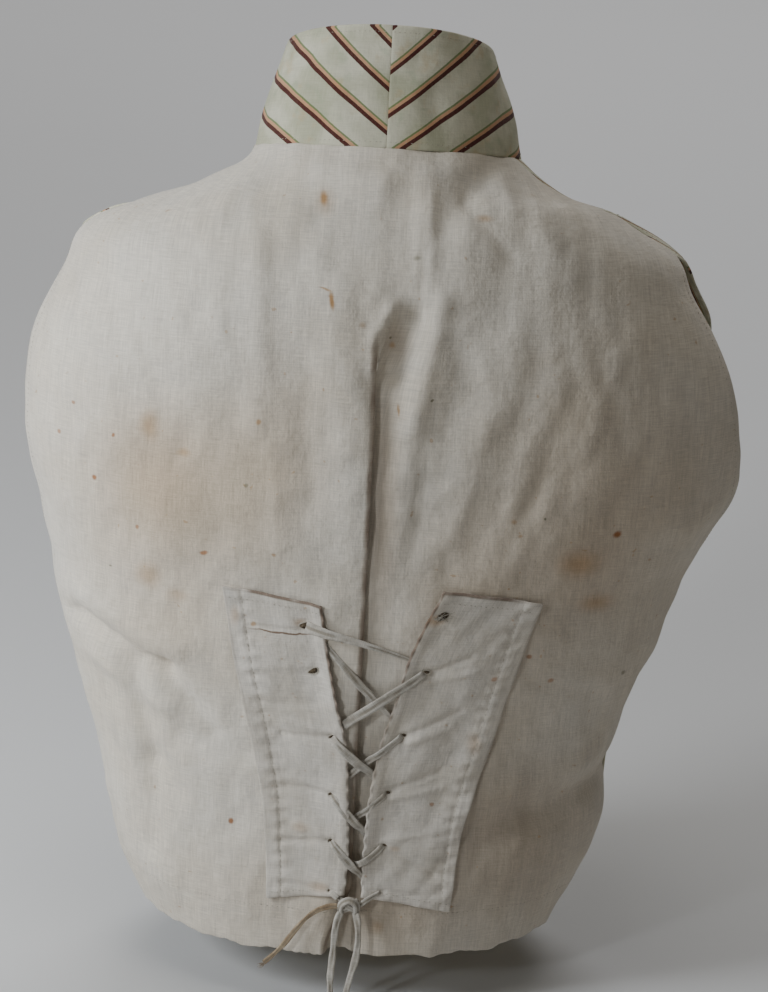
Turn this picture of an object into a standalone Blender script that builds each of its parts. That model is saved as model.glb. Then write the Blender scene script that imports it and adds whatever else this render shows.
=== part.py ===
"""Back-laced waistcoat with a striped standing collar, filled out as it is worn.

Driving sizes are in millimetres and turn into metres as each piece is made. -Y is the laced back, +X is
the wearer's right and +Z is up. Heights count from the level hem, and the origin lies between the
shoulders, level with the sides of the neck.
"""

import math

import bmesh
import bpy
import numpy as np
from mathutils import Vector
from mathutils.geometry import interpolate_bezier

MM = 0.001
ORIGIN_HEIGHT = 430.0
WALL = 1.5
SEAM_GAP = 0.5
ARC_SAMPLES = 180
ROW_REACH = 1.15 * math.pi
PROBE = 0.01

# Sections of the filled garment, one row each: height over the hem, left half width, right half width,
# depth of the back, depth of the front, squareness of the back, rise of the back (tangent of the tilt),
# drop of the middle front
SECTIONS = np.array((
    (0, 118.5, 118, 96, 100, 2.3, 0.00, 0),
    (25, 131, 130, 95, 101, 2.35, 0.00, 0),
    (55, 139.5, 140.5, 94, 102, 2.4, 0.00, 0),
    (90, 146, 141.5, 95, 103, 2.4, 0.00, 0),
    (130, 158, 151.5, 98, 106, 2.4, 0.00, 0),
    (175, 170.5, 168.5, 104, 110, 2.45, 0.00, 0),
    (210, 177, 178.5, 109, 114, 2.5, 0.00, 0),
    (235, 182, 191, 113, 116, 2.55, 0.00, 0),
    (260, 189, 206, 115.5, 118, 2.6, 0.00, 0),
    (290, 193.5, 212, 117, 118, 2.6, 0.01, 0),
    (315, 192.5, 208, 117, 116, 2.6, 0.04, 1),
    (340, 184.5, 194, 115, 111, 2.6, 0.09, 3),
    (365, 170.5, 173.5, 108, 102, 2.5, 0.14, 6),
    (383, 161, 161, 100, 96, 2.4, 0.176, 8),
    (391, 148.5, 149, 95.5, 92.5, 2.35, 0.19, 9),
    (398, 129, 136, 91, 89, 2.3, 0.205, 10),
    (404, 112, 124, 86, 85.5, 2.25, 0.217, 11.5),
    (410, 97.5, 103, 80.5, 80.5, 2.2, 0.23, 13),
    (417, 83.5, 89.5, 74, 74.5, 2.15, 0.245, 14.5),
    (424, 74.5, 80, 67.5, 67.5, 2.1, 0.257, 16),
    (430, 71, 73, 62, 60, 2.1, 0.268, 18),
))
FRONT_SQUARENESS = 2.1

UNDERARM = 210.0
SHOULDER_TIP = 383.0
NECK = 430.0
BACK_HOLLOW = math.radians(12)
FRONT_HOLLOW = math.radians(22)
HOLLOW_ROUNDNESS = 0.6
LEFT_SEAM_BEHIND = 3.0
RIGHT_SEAM_BEHIND = 12.0

BACK_ROW_HEIGHTS = (
    0, 6, 14, 25, 37, 50, 64, 78, 92, 106, 120, 134, 148, 162, 176, 190, 200, 210, 214, 221, 231, 243,
    256, 269, 282, 295, 308, 321, 333, 345, 355, 364, 372, 378, 383, 389, 395, 401, 407, 413, 419, 425, 430,
)
FRONT_ROW_HEIGHTS = (
    0, 20, 42, 66, 90, 114, 138, 162, 186, 210, 214, 222, 234, 250, 270, 290, 310, 328, 345, 360, 373,
    383, 391, 399, 407, 415, 423, 430,
)
BACK_SIDE_COLUMNS = 14
FRONT_COLUMNS = 13

# Columns of the middle pleat: place when flat, place when folded, rise when folded, place at the hem,
# rise at the hem
PLEAT = np.array((
    (-33, -33, 0.0, -34, 0.0),
    (-25, -23, 0.8, -27, 0.4),
    (-17, -13.5, 2.2, -20.5, 0.8),
    (-10, -6.5, 3.0, -15.5, 0.6),
    (-5, -1.8, 2.2, -12.3, -0.8),
    (-2, 0.6, -0.4, -10.8, -3.4),
    (0, 0.8, -4.2, -10.2, -7.2),
    (2.5, 0.6, -8.2, -8.6, -11.2),
    (5.5, 2.6, -11.4, -4.6, -13.2),
    (10, 7.4, -11.6, 0.4, -10.6),
    (16, 14.0, -7.6, 5.4, -5.0),
    (24, 22.5, -2.6, 15.0, -1.0),
    (33, 32.5, 0.0, 31.0, 0.0),
))
# How far the pleat is folded: height, share
PLEAT_FOLDED = np.array((
    (0, 1.0), (190, 1.0), (270, 0.9), (310, 0.72), (335, 0.42), (355, 0.14), (370, 0.0), (430, 0.0),
))
PLEAT_FLARE_HEIGHT = 44.0

# Soft folds of the back: start x and height, end x and height, half width, lift
BACK_FOLDS = np.array((
    (-45, 437, 0, 432, 6, 1.6),
    (0, 432, 48, 438, 6, 1.6),
    (-60, 424, 15, 420, 9, -2.0),
    (50, 434, 33, 414, 8, -2.6),
    (22, 436, 24, 396, 7, 1.4),
    (14, 380, 7, 345, 13, -4.2),
    (-22, 376, -8, 300, 12, 2.2),
    (26, 378, 20, 320, 8, 2.2),
    (20, 320, 14, 225, 8, 1.8),
    (54, 364, 32, 258, 10, -2.2),
    (72, 366, 46, 250, 9, 1.8),
    (88, 350, 48, 228, 10, -2.4),
    (-63, 398, -59, 308, 9, 1.6),
    (-112, 330, -84, 250, 13, -1.6),
    (-154, 174, -103, 153, 9, -3.0),
    (-103, 153, -74, 122, 9, -2.6),
    (-150, 186, -98, 166, 9, 2.0),
    (-124, 156, -112, 98, 10, -3.0),
    (-112, 98, -111, 44, 10, -2.4),
    (-94, 120, -62, 113, 8, -2.0),
    (68, 72, 98, 81, 9, -2.6),
    (98, 81, 136, 90, 9, -3.0),
    (66, 92, 130, 108, 10, 2.2),
))
FRONT_FOLDS = np.array((
    (-120, 215, -40, 190, 14, -2.4),
    (125, 215, 45, 195, 14, -2.4),
    (-110, 110, -45, 92, 12, 2.2),
    (112, 96, 40, 84, 12, 2.2),
    (-95, 350, -60, 290, 12, 1.8),
    (95, 350, 58, 285, 12, 1.8),
    (-60, 60, -52, 10, 11, -2.0),
    (62, 56, 55, 8, 11, -2.0),
))

CLOSURE_OVERLAP = 10.0
CLOSURE_STEP = 2.1
CLOSURE_BLEND_START = 13.0
CLOSURE_BLEND_END = 30.0

# Upper edge of the collar, in the same columns as a section
COLLAR_TOP = (486.5, 56, 55, 50, 50, 2.05, 0.45, 35)
COLLAR_WALL = 2.0
COLLAR_ROWS = 6
COLLAR_COLUMNS = 18
COLLAR_BULGE = 1.6
COLLAR_LIFT = 0.5
COLLAR_SEAM_GAP = 0.3
COLLAR_END_GAP = 5.0
COLLAR_CORNER_START = 0.86
COLLAR_CORNER_DROP = 0.4

PANEL_WALL = 1.2
PANEL_CLEAR = 0.8
PANEL_ROWS = 17
PANEL_COLUMNS = 7
# Above 1, the columns crowd towards the inner edge
PANEL_CROWDING = 1.3
# Edges of the laced panels, bottom to top: inner x and height, outer x and height
LEFT_PANEL = np.array((
    (-2.0, 37.5, -43.8, 30.5),
    (-1.2, 63.0, -45.6, 58.5),
    (-2.4, 91.5, -48.4, 88.5),
    (-4.8, 124.0, -55.0, 121.0),
    (-11.0, 150.5, -62.6, 153.0),
    (-17.5, 181.0, -68.8, 182.0),
    (-22.0, 208.5, -74.0, 215.0),
))
RIGHT_PANEL = np.array((
    (7.5, 36.0, 55.5, 26.8),
    (7.6, 65.5, 58.0, 59.0),
    (9.0, 94.0, 62.4, 88.5),
    (13.4, 124.5, 71.4, 122.0),
    (20.6, 154.0, 78.6, 151.0),
    (28.0, 184.0, 87.0, 182.5),
    (42.5, 220.5, 95.0, 212.5),
))
LEFT_EDGE_LIFT = 1.7
RIGHT_EDGE_LIFT = 1.9
EDGE_LIFT_WIDTH = 6.0
CREST_BUMP = 3.4
CREST_X = -7.0
CREST_WIDTH = 11.0

TAPE_WIDTH = 3.4
TAPE_THICKNESS = 0.9
TAPE_CLEAR = 0.8
TAPE_STEPS = 3
EDGE_MARGIN = 2.4
# A crossing leaves its first panel, and meets its second, within these shares of its length
GAP_FIRST_SHARE = 0.04
GAP_LAST_SHARE = 0.96
# Crossings of the lace: name, start x and height, end x and height, how it starts, its distance out from
# the section in the middle of the gap, how it ends
CROSSINGS = (
    ("lace_1", -29.8, 195.5, 29.0, 177.0, "over", 4.6, "under"),
    ("lace_2", -18.6, 185.4, 18.8, 142.0, "under", 3.9, "under"),
    ("lace_3", 35.2, 170.8, -7.6, 138.0, "over", 5.4, "under"),
    ("lace_4", -12.8, 130.2, 12.4, 105.0, "over", 6.1, "under"),
    ("lace_5", 24.9, 132.0, -3.4, 107.0, "over", 2.0, "under"),
    ("lace_6", -11.4, 95.8, 8.6, 71.4, "over", 5.6, "under"),
    ("lace_7", 18.2, 97.0, -1.4, 79.0, "over", 2.6, "under"),
    ("lace_8", -10.7, 68.0, 8.4, 45.0, "over", 5.6, "under"),
    ("lace_9", 17.8, 65.6, -0.6, 53.4, "over", 2.6, "under"),
    ("lace_10", -9.6, 38.6, -5.6, 35.6, "over", None, "over"),
    ("lace_11", 18.2, 38.6, 6.5, 31.4, "over", None, "over"),
)
KNOT_PLACE = (0.6, 31.2)
KNOT_SIZE = (5.4, 3.4, 4.6)
KNOT_LIFT = 6.4

CORD_RADIUS = 1.15
CORD_STEP = 6.0
CURVE_STEPS = 12
# Routes of the hanging lace: x, height, distance out from the back's section at the hem
LOOP_ROUTE = (
    (-3.5, 27.4, 5.4), (-5.2, 22.0, 6.2), (-6.0, 17.0, 6.8), (-6.4, 11.0, 7.2), (-6.7, 5.0, 7.2),
    (-6.9, -1.0, 7.0), (-7.2, -7.0, 6.7), (-7.4, -13.0, 6.4), (-6.8, -21.6, 6.2), (-3.4, -27.6, 6.2),
    (0.4, -25.4, 6.4), (2.0, -18.0, 6.6), (4.0, -8.0, 7.0), (5.4, -2.0, 7.4), (6.3, 4.0, 7.6),
    (6.8, 12.0, 7.4), (6.1, 21.6, 6.2), (4.7, 27.4, 5.4),
)
TAIL_ROUTE = (
    (-5.2, 31.0, 5.3), (-8.2, 30.7, 5.1), (-11.6, 29.8, 5.0), (-14.9, 28.3, 4.8), (-18.0, 26.4, 4.6),
    (-21.1, 23.6, 4.6), (-24.0, 20.4, 4.6), (-26.6, 16.9, 4.5), (-29.0, 13.4, 4.4), (-31.7, 9.3, 4.5),
    (-34.4, 5.6, 4.6), (-36.9, 2.6, 4.8), (-39.4, -0.2, 5.0), (-41.8, -2.6, 5.1), (-44.2, -5.0, 5.2),
)

BUTTON_HEIGHTS = (22, 72, 122, 172, 222, 270, 316, 358)
BUTTON_SIDES = 16
# Profile of a covered button: radius, height over the cloth
BUTTON_PROFILE = ((6.6, 0.0), (7.0, 0.9), (6.3, 2.1), (4.2, 3.0), (1.9, 3.4))
BUTTON_CLEAR = 0.35

COTTON = (0.63, 0.58, 0.50)
COTTON_SHADED = (0.58, 0.53, 0.455)
STRIPED = (0.64, 0.60, 0.50)
TAPE = (0.60, 0.56, 0.48)
BUTTON = (0.60, 0.56, 0.47)


def smooth_value(places, values, place):
    """Reads a smooth curve through a short table."""
    slopes = np.gradient(values, places)
    row = int(np.clip(np.searchsorted(places, place) - 1, 0, len(places) - 2))
    span = places[row + 1] - places[row]
    t = (place - places[row]) / span
    start = (1 + 2 * t) * (1 - t) ** 2 * values[row] + t * (1 - t) ** 2 * span * slopes[row]
    end = t * t * (3 - 2 * t) * values[row + 1] + t * t * (t - 1) * span * slopes[row + 1]
    return start + end


def smooth_step(start, end, value):
    """Rises softly from 0 at start to 1 at end."""
    t = min(max((value - start) / (end - start), 0.0), 1.0)
    return t * t * (3 - 2 * t)


def section_at(height):
    """The section's sizes at a height, without the height itself."""
    return tuple(smooth_value(SECTIONS[:, 0], SECTIONS[:, k], height) for k in range(1, SECTIONS.shape[1]))


def section_point(angle, height, sizes):
    """Point of a section at an angle from the middle of the back, positive towards +X."""
    left, right, back, front, squareness, rise, drop = sizes
    width = right if math.sin(angle) > 0 else left
    depth, power = (back, squareness) if math.cos(angle) > 0 else (front, FRONT_SQUARENESS)
    across = (abs(math.sin(angle)) / width) ** power
    along = (abs(math.cos(angle)) / depth) ** power
    radius = (across + along) ** (-1 / power)
    x = radius * math.sin(angle)
    y = -radius * math.cos(angle)
    return np.array((x, y, height - rise * y - drop * (max(y, 0.0) / front) ** 2))


def body_point(angle, height):
    return section_point(angle, height, section_at(height))


def body_normal(angle, height):
    """Direction straight out of the garment."""
    low = max(height - PROBE, 0.0)
    around = body_point(angle + PROBE, height) - body_point(angle - PROBE, height)
    upward = body_point(angle, low + 2 * PROBE) - body_point(angle, low)
    normal = np.cross(around, upward)
    return normal / np.linalg.norm(normal)


class Row:
    """One level row of the garment, read by the length along it from the middle of the back."""

    def __init__(self, height):
        self.height = height
        self.sizes = section_at(height)
        self.angles = np.linspace(-ROW_REACH, ROW_REACH, 2 * ARC_SAMPLES + 1)
        self.points = np.array([section_point(angle, height, self.sizes) for angle in self.angles])
        steps = np.linalg.norm(np.diff(self.points, axis=0), axis=1)
        self.lengths = np.concatenate(((0.0,), np.cumsum(steps)))
        self.lengths -= self.lengths[ARC_SAMPLES]

    def length_to(self, angle):
        return float(np.interp(angle, self.angles, self.lengths))

    def angle_at(self, length):
        return float(np.interp(length, self.lengths, self.angles))

    def angle_at_x(self, x):
        """Angle on the back half where the row reaches x."""
        back = slice(ARC_SAMPLES - ARC_SAMPLES // 3, ARC_SAMPLES + ARC_SAMPLES // 3 + 1)
        return float(np.interp(x, self.points[back, 0], self.angles[back]))


def shoulder_angle(height, side):
    """Angle of the shoulder seam, which lies a little behind the widest line."""
    left, right = section_at(height)[:2]
    width, behind = (right, RIGHT_SEAM_BEHIND) if side > 0 else (left, LEFT_SEAM_BEHIND)
    return math.atan2(width, behind)


def edge_angle(height, side, hollow):
    """Angle where a panel ends: its side seam, then its armhole, then its shoulder seam."""
    if height <= UNDERARM:
        return math.pi / 2
    if height >= SHOULDER_TIP:
        return shoulder_angle(height, side)
    share = (height - UNDERARM) / (SHOULDER_TIP - UNDERARM)
    seam = math.pi / 2 + share * (shoulder_angle(SHOULDER_TIP, side) - math.pi / 2)
    return seam + hollow * math.sin(math.pi * share) ** HOLLOW_ROUNDNESS


def fold_lift(folds, x, height):
    """Sum of the soft folds at a place."""
    total = 0.0
    for start_x, start_height, end_x, end_height, half_width, lift in folds:
        run_x = end_x - start_x
        run_up = end_height - start_height
        run = math.hypot(run_x, run_up)
        along = ((x - start_x) * run_x + (height - start_height) * run_up) / run
        across = ((x - start_x) * run_up - (height - start_height) * run_x) / run
        beyond = max(-along, along - run, 0.0)
        total += lift * math.exp(-((across / half_width) ** 2) - (beyond / half_width) ** 2)
    return total


def lifted(angle, height, lift):
    """Point of the garment moved straight out by lift."""
    return body_point(angle, height) + lift * body_normal(angle, height)


def grid_normals(grid):
    """Normals of a grid of points whose columns run to +angle and rows run up."""
    across = np.gradient(grid, axis=1)
    upward = np.gradient(grid, axis=0)
    normals = np.cross(across, upward)
    return normals / np.linalg.norm(normals, axis=2, keepdims=True)


def material(name, colour, roughness):
    made = bpy.data.materials.new(name)
    made.use_nodes = True
    shader = made.node_tree.nodes["Principled BSDF"]
    shader.inputs["Base Color"].default_value = (*colour, 1.0)
    shader.inputs["Roughness"].default_value = roughness
    shader.inputs["Metallic"].default_value = 0.0
    return made


def add_object(name, data, finish):
    made = bpy.data.objects.new(name, data)
    made.data.materials.append(finish)
    bpy.context.scene.collection.objects.link(made)
    return made


def to_world(point):
    return Vector((point[0], point[1], point[2] - ORIGIN_HEIGHT)) * MM


def add_wall(name, outer, inner, finish):
    """Closed cloth wall between two matching grids of points."""
    rows, columns = outer.shape[:2]
    mesh = bmesh.new()
    outside = [[mesh.verts.new(to_world(point)) for point in row] for row in outer]
    inside = [[mesh.verts.new(to_world(point)) for point in row] for row in inner]
    for r in range(rows - 1):
        for c in range(columns - 1):
            mesh.faces.new((outside[r][c], outside[r][c + 1], outside[r + 1][c + 1], outside[r + 1][c]))
            mesh.faces.new((inside[r][c], inside[r + 1][c], inside[r + 1][c + 1], inside[r][c + 1]))
    border = [(0, c) for c in range(columns - 1)]
    border += [(r, columns - 1) for r in range(rows - 1)]
    border += [(rows - 1, c) for c in range(columns - 1, 0, -1)]
    border += [(r, 0) for r in range(rows - 1, 0, -1)]
    for (r0, c0), (r1, c1) in zip(border, border[1:] + border[:1]):
        mesh.faces.new((outside[r0][c0], inside[r0][c0], inside[r1][c1], outside[r1][c1]))
    data = bpy.data.meshes.new(name)
    mesh.to_mesh(data)
    mesh.free()
    return add_object(name, data, finish)


def add_cloth(name, outer, thickness, finish):
    """Cloth wall behind a grid of outer points."""
    return add_wall(name, outer, outer - thickness * grid_normals(outer), finish)


def pleat_column(row_height, column):
    """Place along the row, and rise, of one column of the middle pleat."""
    flat, folded, rise, hem_place, hem_rise = PLEAT[column]
    share = smooth_value(PLEAT_FOLDED[:, 0], PLEAT_FOLDED[:, 1], row_height)
    share = min(max(share, 0.0), 1.0)
    flare = 1.0 - smooth_step(0.0, PLEAT_FLARE_HEIGHT, row_height)
    place = flat + share * (folded + flare * (hem_place - folded) - flat)
    return place, share * (rise + flare * (hem_rise - rise))


def back_point(row, place, rise):
    """Point of the back at a length along a row, with its soft folds."""
    angle = row.angle_at(place)
    base = body_point(angle, row.height)
    lift = rise + fold_lift(BACK_FOLDS, base[0], base[2])
    return base + lift * body_normal(angle, row.height)


def make_back(finish):
    grid = []
    for height in BACK_ROW_HEIGHTS:
        row = Row(height)
        left_end = row.length_to(-edge_angle(height, -1, -BACK_HOLLOW)) + SEAM_GAP / 2
        right_end = row.length_to(edge_angle(height, 1, -BACK_HOLLOW)) - SEAM_GAP / 2
        middle = [pleat_column(height, column) for column in range(len(PLEAT))]
        left = [(place, 0.0) for place in np.linspace(left_end, middle[0][0], BACK_SIDE_COLUMNS + 1)[:-1]]
        right = [(place, 0.0) for place in np.linspace(middle[-1][0], right_end, BACK_SIDE_COLUMNS + 1)[1:]]
        grid.append([back_point(row, place, rise) for place, rise in left + middle + right])
    return add_cloth("back", np.array(grid), WALL, finish)


def make_front(name, side, finish):
    """The wearer's left front, side -1, closes over the right one."""
    grid = []
    for height in FRONT_ROW_HEIGHTS:
        row = Row(height)
        front_depth = row.sizes[3]
        overlap = math.atan2(CLOSURE_OVERLAP, front_depth)
        inner = row.length_to(side * edge_angle(height, side, FRONT_HOLLOW)) + side * SEAM_GAP / 2
        closing = row.length_to(side * (math.pi + overlap))
        places = np.linspace(inner, closing, FRONT_COLUMNS + 1)
        line = []
        for place in places if side > 0 else places[::-1]:
            angle = row.angle_at(place)
            base = body_point(angle, height)
            lift = fold_lift(FRONT_FOLDS, base[0], base[2]) if base[1] > 0 else 0.0
            if side > 0:
                lift -= CLOSURE_STEP * (1 - smooth_step(CLOSURE_BLEND_START, CLOSURE_BLEND_END, base[0]))
            line.append(base + lift * body_normal(angle, height))
        grid.append(line)
    return add_cloth(name, np.array(grid), WALL, finish)


def make_collar(name, side, finish):
    """Half of the standing collar, from the middle of the back to the middle of the front."""
    base_sizes = section_at(NECK)
    top_height, *top_sizes = COLLAR_TOP
    end = math.pi - math.atan2(COLLAR_END_GAP / 2, base_sizes[3])
    start = math.atan2(COLLAR_SEAM_GAP, base_sizes[2])
    shares = np.linspace(0.0, 1.0, COLLAR_COLUMNS + 1)
    grid = []
    for level in np.linspace(0.0, 1.0, COLLAR_ROWS + 1):
        line = []
        for share in shares if side > 0 else shares[::-1]:
            angle = side * (start + share * (end - start))
            low = section_point(angle, NECK, base_sizes)
            high = section_point(angle, top_height, top_sizes)
            up = (high - low) / np.linalg.norm(high - low)
            corner = max((share - COLLAR_CORNER_START) / (1 - COLLAR_CORNER_START), 0.0)
            reach = level * (1 - COLLAR_CORNER_DROP * corner * corner)
            out = np.array((low[0], low[1], 0.0)) / math.hypot(low[0], low[1])
            bulge = COLLAR_BULGE * math.sin(math.pi * level)
            line.append(low + reach * (high - low) + (1 - level) * COLLAR_LIFT * up + bulge * out)
        grid.append(line)
    return add_cloth(name, np.array(grid), COLLAR_WALL, finish)


def panel_under_lift(side, x, from_inner_edge):
    """Distance from the garment's section out to the underside of a laced panel."""
    edge_lift = LEFT_EDGE_LIFT if side < 0 else RIGHT_EDGE_LIFT
    curl = edge_lift * math.exp(-((from_inner_edge / EDGE_LIFT_WIDTH) ** 2))
    crest = CREST_BUMP * math.exp(-(((x - CREST_X) / CREST_WIDTH) ** 2))
    return PANEL_CLEAR + curl + crest


def panel_place(table, up, across):
    """x and height in a panel, and the distance from its inner edge."""
    shares = np.linspace(0.0, 1.0, len(table))
    inner_x, inner_height, outer_x, outer_height = (smooth_value(shares, table[:, k], up) for k in range(4))
    x = inner_x + across * (outer_x - inner_x)
    height = inner_height + across * (outer_height - inner_height)
    return x, height, across * math.hypot(outer_x - inner_x, outer_height - inner_height)


def make_panel(name, side, table, finish):
    """Laced panel that lies on the back, with its inner edge lifted by the pull of the lace."""
    under = []
    top = []
    shares = np.linspace(0.0, 1.0, PANEL_COLUMNS + 1) ** PANEL_CROWDING
    for up in np.linspace(0.0, 1.0, PANEL_ROWS + 1):
        under_line = []
        top_line = []
        for across in shares if side > 0 else shares[::-1]:
            x, height, from_edge = panel_place(table, up, across)
            angle = Row(height).angle_at_x(x)
            lift = panel_under_lift(side, x, from_edge) + fold_lift(BACK_FOLDS, x, height)
            under_line.append(lifted(angle, height, lift))
            top_line.append(lifted(angle, height, lift + PANEL_WALL))
        under.append(under_line)
        top.append(top_line)
    return add_wall(name, np.array(top), np.array(under), finish)


def inner_edge_x(side, height):
    """x of a panel's inner edge at a height."""
    table = LEFT_PANEL if side < 0 else RIGHT_PANEL
    return float(np.interp(height, table[:, 1], table[:, 0]))


def lace_level(kind, side, x, height):
    """Distance from the section out to a tape that lies over, or passes under, a panel."""
    from_edge = max(side * (x - inner_edge_x(side, height)), 0.0)
    under = panel_under_lift(side, x, from_edge)
    return under + PANEL_WALL + TAPE_CLEAR if kind == "over" else under - TAPE_CLEAR - TAPE_THICKNESS


def between(start, end, share):
    return start[0] + share * (end[0] - start[0]), start[1] + share * (end[1] - start[1])


def crossing_levels(start, end, kinds, middle):
    """Shares along a crossing, and the distance out at each: over or under its panels, then over the gap."""
    if middle is None:
        side = -1 if start[0] < 0 else 1
        shares = np.linspace(0.0, 1.0, TAPE_STEPS + 1)
        return shares, [lace_level(kinds[0], side, *between(start, end, share)) for share in shares]
    sides = (-1, 1) if start[0] < 0 else (1, -1)
    gap_x = [inner_edge_x(side, place[1]) - side * EDGE_MARGIN for side, place in zip(sides, (start, end))]
    shares = ((x - start[0]) / (end[0] - start[0]) for x in gap_x)
    leaves, enters = (min(max(share, GAP_FIRST_SHARE), GAP_LAST_SHARE) for share in shares)
    stops = (0.0, leaves, (leaves + enters) / 2, enters, 1.0)
    shares = np.unique(np.concatenate([np.linspace(*pair, TAPE_STEPS + 1) for pair in zip(stops, stops[1:])]))
    leaving = lace_level(kinds[0], sides[0], *between(start, end, leaves))
    entering = lace_level(kinds[1], sides[1], *between(start, end, enters))
    levels = []
    for share in shares:
        if share < leaves:
            levels.append(lace_level(kinds[0], sides[0], *between(start, end, share)))
        elif share > enters:
            levels.append(lace_level(kinds[1], sides[1], *between(start, end, share)))
        else:
            levels.append(float(np.interp(share, stops[1:4], (leaving, middle, entering))))
    return shares, levels


def make_crossing(name, start, end, kinds, middle, finish):
    """Flat tape from an eyelet, across the gap, to where it is hidden."""
    points = []
    normals = []
    for share, level in zip(*crossing_levels(start, end, kinds, middle)):
        x, height = between(start, end, share)
        angle = Row(height).angle_at_x(x)
        points.append(lifted(angle, height, level + fold_lift(BACK_FOLDS, x, height)))
        normals.append(body_normal(angle, height))
    points = np.array(points)
    along = np.gradient(points, axis=0)
    sideways = np.cross(normals, along)
    sideways *= TAPE_WIDTH / 2 / np.linalg.norm(sideways, axis=1, keepdims=True)
    out = np.cross(along, sideways)
    out *= TAPE_THICKNESS / np.linalg.norm(out, axis=1, keepdims=True)
    under = np.stack((points - sideways, points + sideways), axis=0)
    return add_wall(name, under + out[None, :, :], under, finish)


def make_knot(finish):
    """The lump where the two ends of the lace are tied."""
    x, height = KNOT_PLACE
    angle = Row(height).angle_at_x(x)
    centre = lifted(angle, height, KNOT_LIFT)
    mesh = bmesh.new()
    bmesh.ops.create_icosphere(mesh, subdivisions=3, radius=1.0)
    for vertex in mesh.verts:
        vertex.co = to_world(centre + np.array(vertex.co) * np.array(KNOT_SIZE))
    data = bpy.data.meshes.new("lace_knot")
    mesh.to_mesh(data)
    mesh.free()
    return add_object("lace_knot", data, finish)


def even_points(route):
    """Points at an even step along a smooth curve through a route."""
    points = [Vector(point) for point in route]
    dense = []
    for index in range(len(points) - 1):
        before = points[max(index - 1, 0)]
        start, end = points[index], points[index + 1]
        after = points[min(index + 2, len(points) - 1)]
        leaving = start + (end - before) / 6
        arriving = end - (after - start) / 6
        dense += interpolate_bezier(start, leaving, arriving, end, CURVE_STEPS)[:-1]
    dense.append(points[-1])
    dense = np.array(dense)
    lengths = np.concatenate(((0.0,), np.cumsum(np.linalg.norm(np.diff(dense, axis=0), axis=1))))
    places = np.linspace(0.0, lengths[-1], int(round(lengths[-1] / CORD_STEP)) + 1)
    return [np.array([np.interp(place, lengths, dense[:, k]) for k in range(3)]) for place in places]


def make_cord(name, route, finish):
    """Hanging stretch of lace, as a round tube along its route."""
    hem_depth = SECTIONS[0][3]
    places = even_points([(x, -hem_depth - out, height) for x, height, out in route])
    data = bpy.data.curves.new(name, "CURVE")
    data.dimensions = "3D"
    data.bevel_depth = CORD_RADIUS * MM
    data.bevel_resolution = 2
    data.use_fill_caps = True
    spline = data.splines.new("POLY")
    spline.points.add(len(places) - 1)
    for point, place in zip(spline.points, places):
        point.co = (*to_world(place), 1.0)
    return add_object(name, data, finish)


def make_button(name, height, finish):
    """Cloth-covered button on the closing edge of the left front."""
    centre = lifted(math.pi, height, BUTTON_CLEAR)
    out = body_normal(math.pi, height)
    turn = Vector(out).to_track_quat("Z", "Y").to_matrix()
    mesh = bmesh.new()
    rings = []
    for radius, lift in BUTTON_PROFILE:
        ring = []
        for index in range(BUTTON_SIDES):
            angle = 2 * math.pi * index / BUTTON_SIDES
            local = Vector((radius * math.cos(angle), radius * math.sin(angle), lift))
            ring.append(mesh.verts.new(to_world(centre + np.array(turn @ local))))
        rings.append(ring)
    mesh.faces.new(rings[0][::-1])
    mesh.faces.new(rings[-1])
    for low, high in zip(rings, rings[1:]):
        for index in range(BUTTON_SIDES):
            after = (index + 1) % BUTTON_SIDES
            mesh.faces.new((low[index], low[after], high[after], high[index]))
    data = bpy.data.meshes.new(name)
    mesh.to_mesh(data)
    mesh.free()
    return add_object(name, data, finish)


def clear_scene():
    for item in list(bpy.data.objects):
        bpy.data.objects.remove(item, do_unlink=True)


def main():
    clear_scene()
    cotton = material("plain_cotton", COTTON, 0.9)
    shaded = material("panel_cotton", COTTON_SHADED, 0.9)
    striped = material("striped_cotton", STRIPED, 0.7)
    tape = material("lace_tape", TAPE, 0.9)
    covered = material("covered_button", BUTTON, 0.8)
    make_back(cotton)
    make_front("front_left", -1, striped)
    make_front("front_right", 1, striped)
    make_collar("collar_left", -1, striped)
    make_collar("collar_right", 1, striped)
    make_panel("lacing_panel_left", -1, LEFT_PANEL, shaded)
    make_panel("lacing_panel_right", 1, RIGHT_PANEL, shaded)
    for name, x0, height0, x1, height1, first, middle, last in CROSSINGS:
        make_crossing(name, (x0, height0), (x1, height1), (first, last), middle, tape)
    make_knot(tape)
    make_cord("lace_loop", LOOP_ROUTE, tape)
    make_cord("lace_tail", TAIL_ROUTE, tape)
    for index, height in enumerate(BUTTON_HEIGHTS):
        make_button(f"button_{index + 1}", height, covered)


main()
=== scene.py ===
"""Looks of a back-laced waistcoat with a striped standing collar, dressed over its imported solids.

Cloth places are worked out in millimetres, with heights over the level hem, and turn into metres when a
mesh is made. -Y is the laced back, +X is the wearer's right and +Z is up. Every cloth also carries its
place in the cut, so that its weave and its stripes follow the pieces as a tailor laid them.
"""

import logging
import math
from collections.abc import Sequence
from dataclasses import dataclass, field
from enum import Enum

import bpy
import numpy as np
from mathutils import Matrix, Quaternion, Vector


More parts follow.
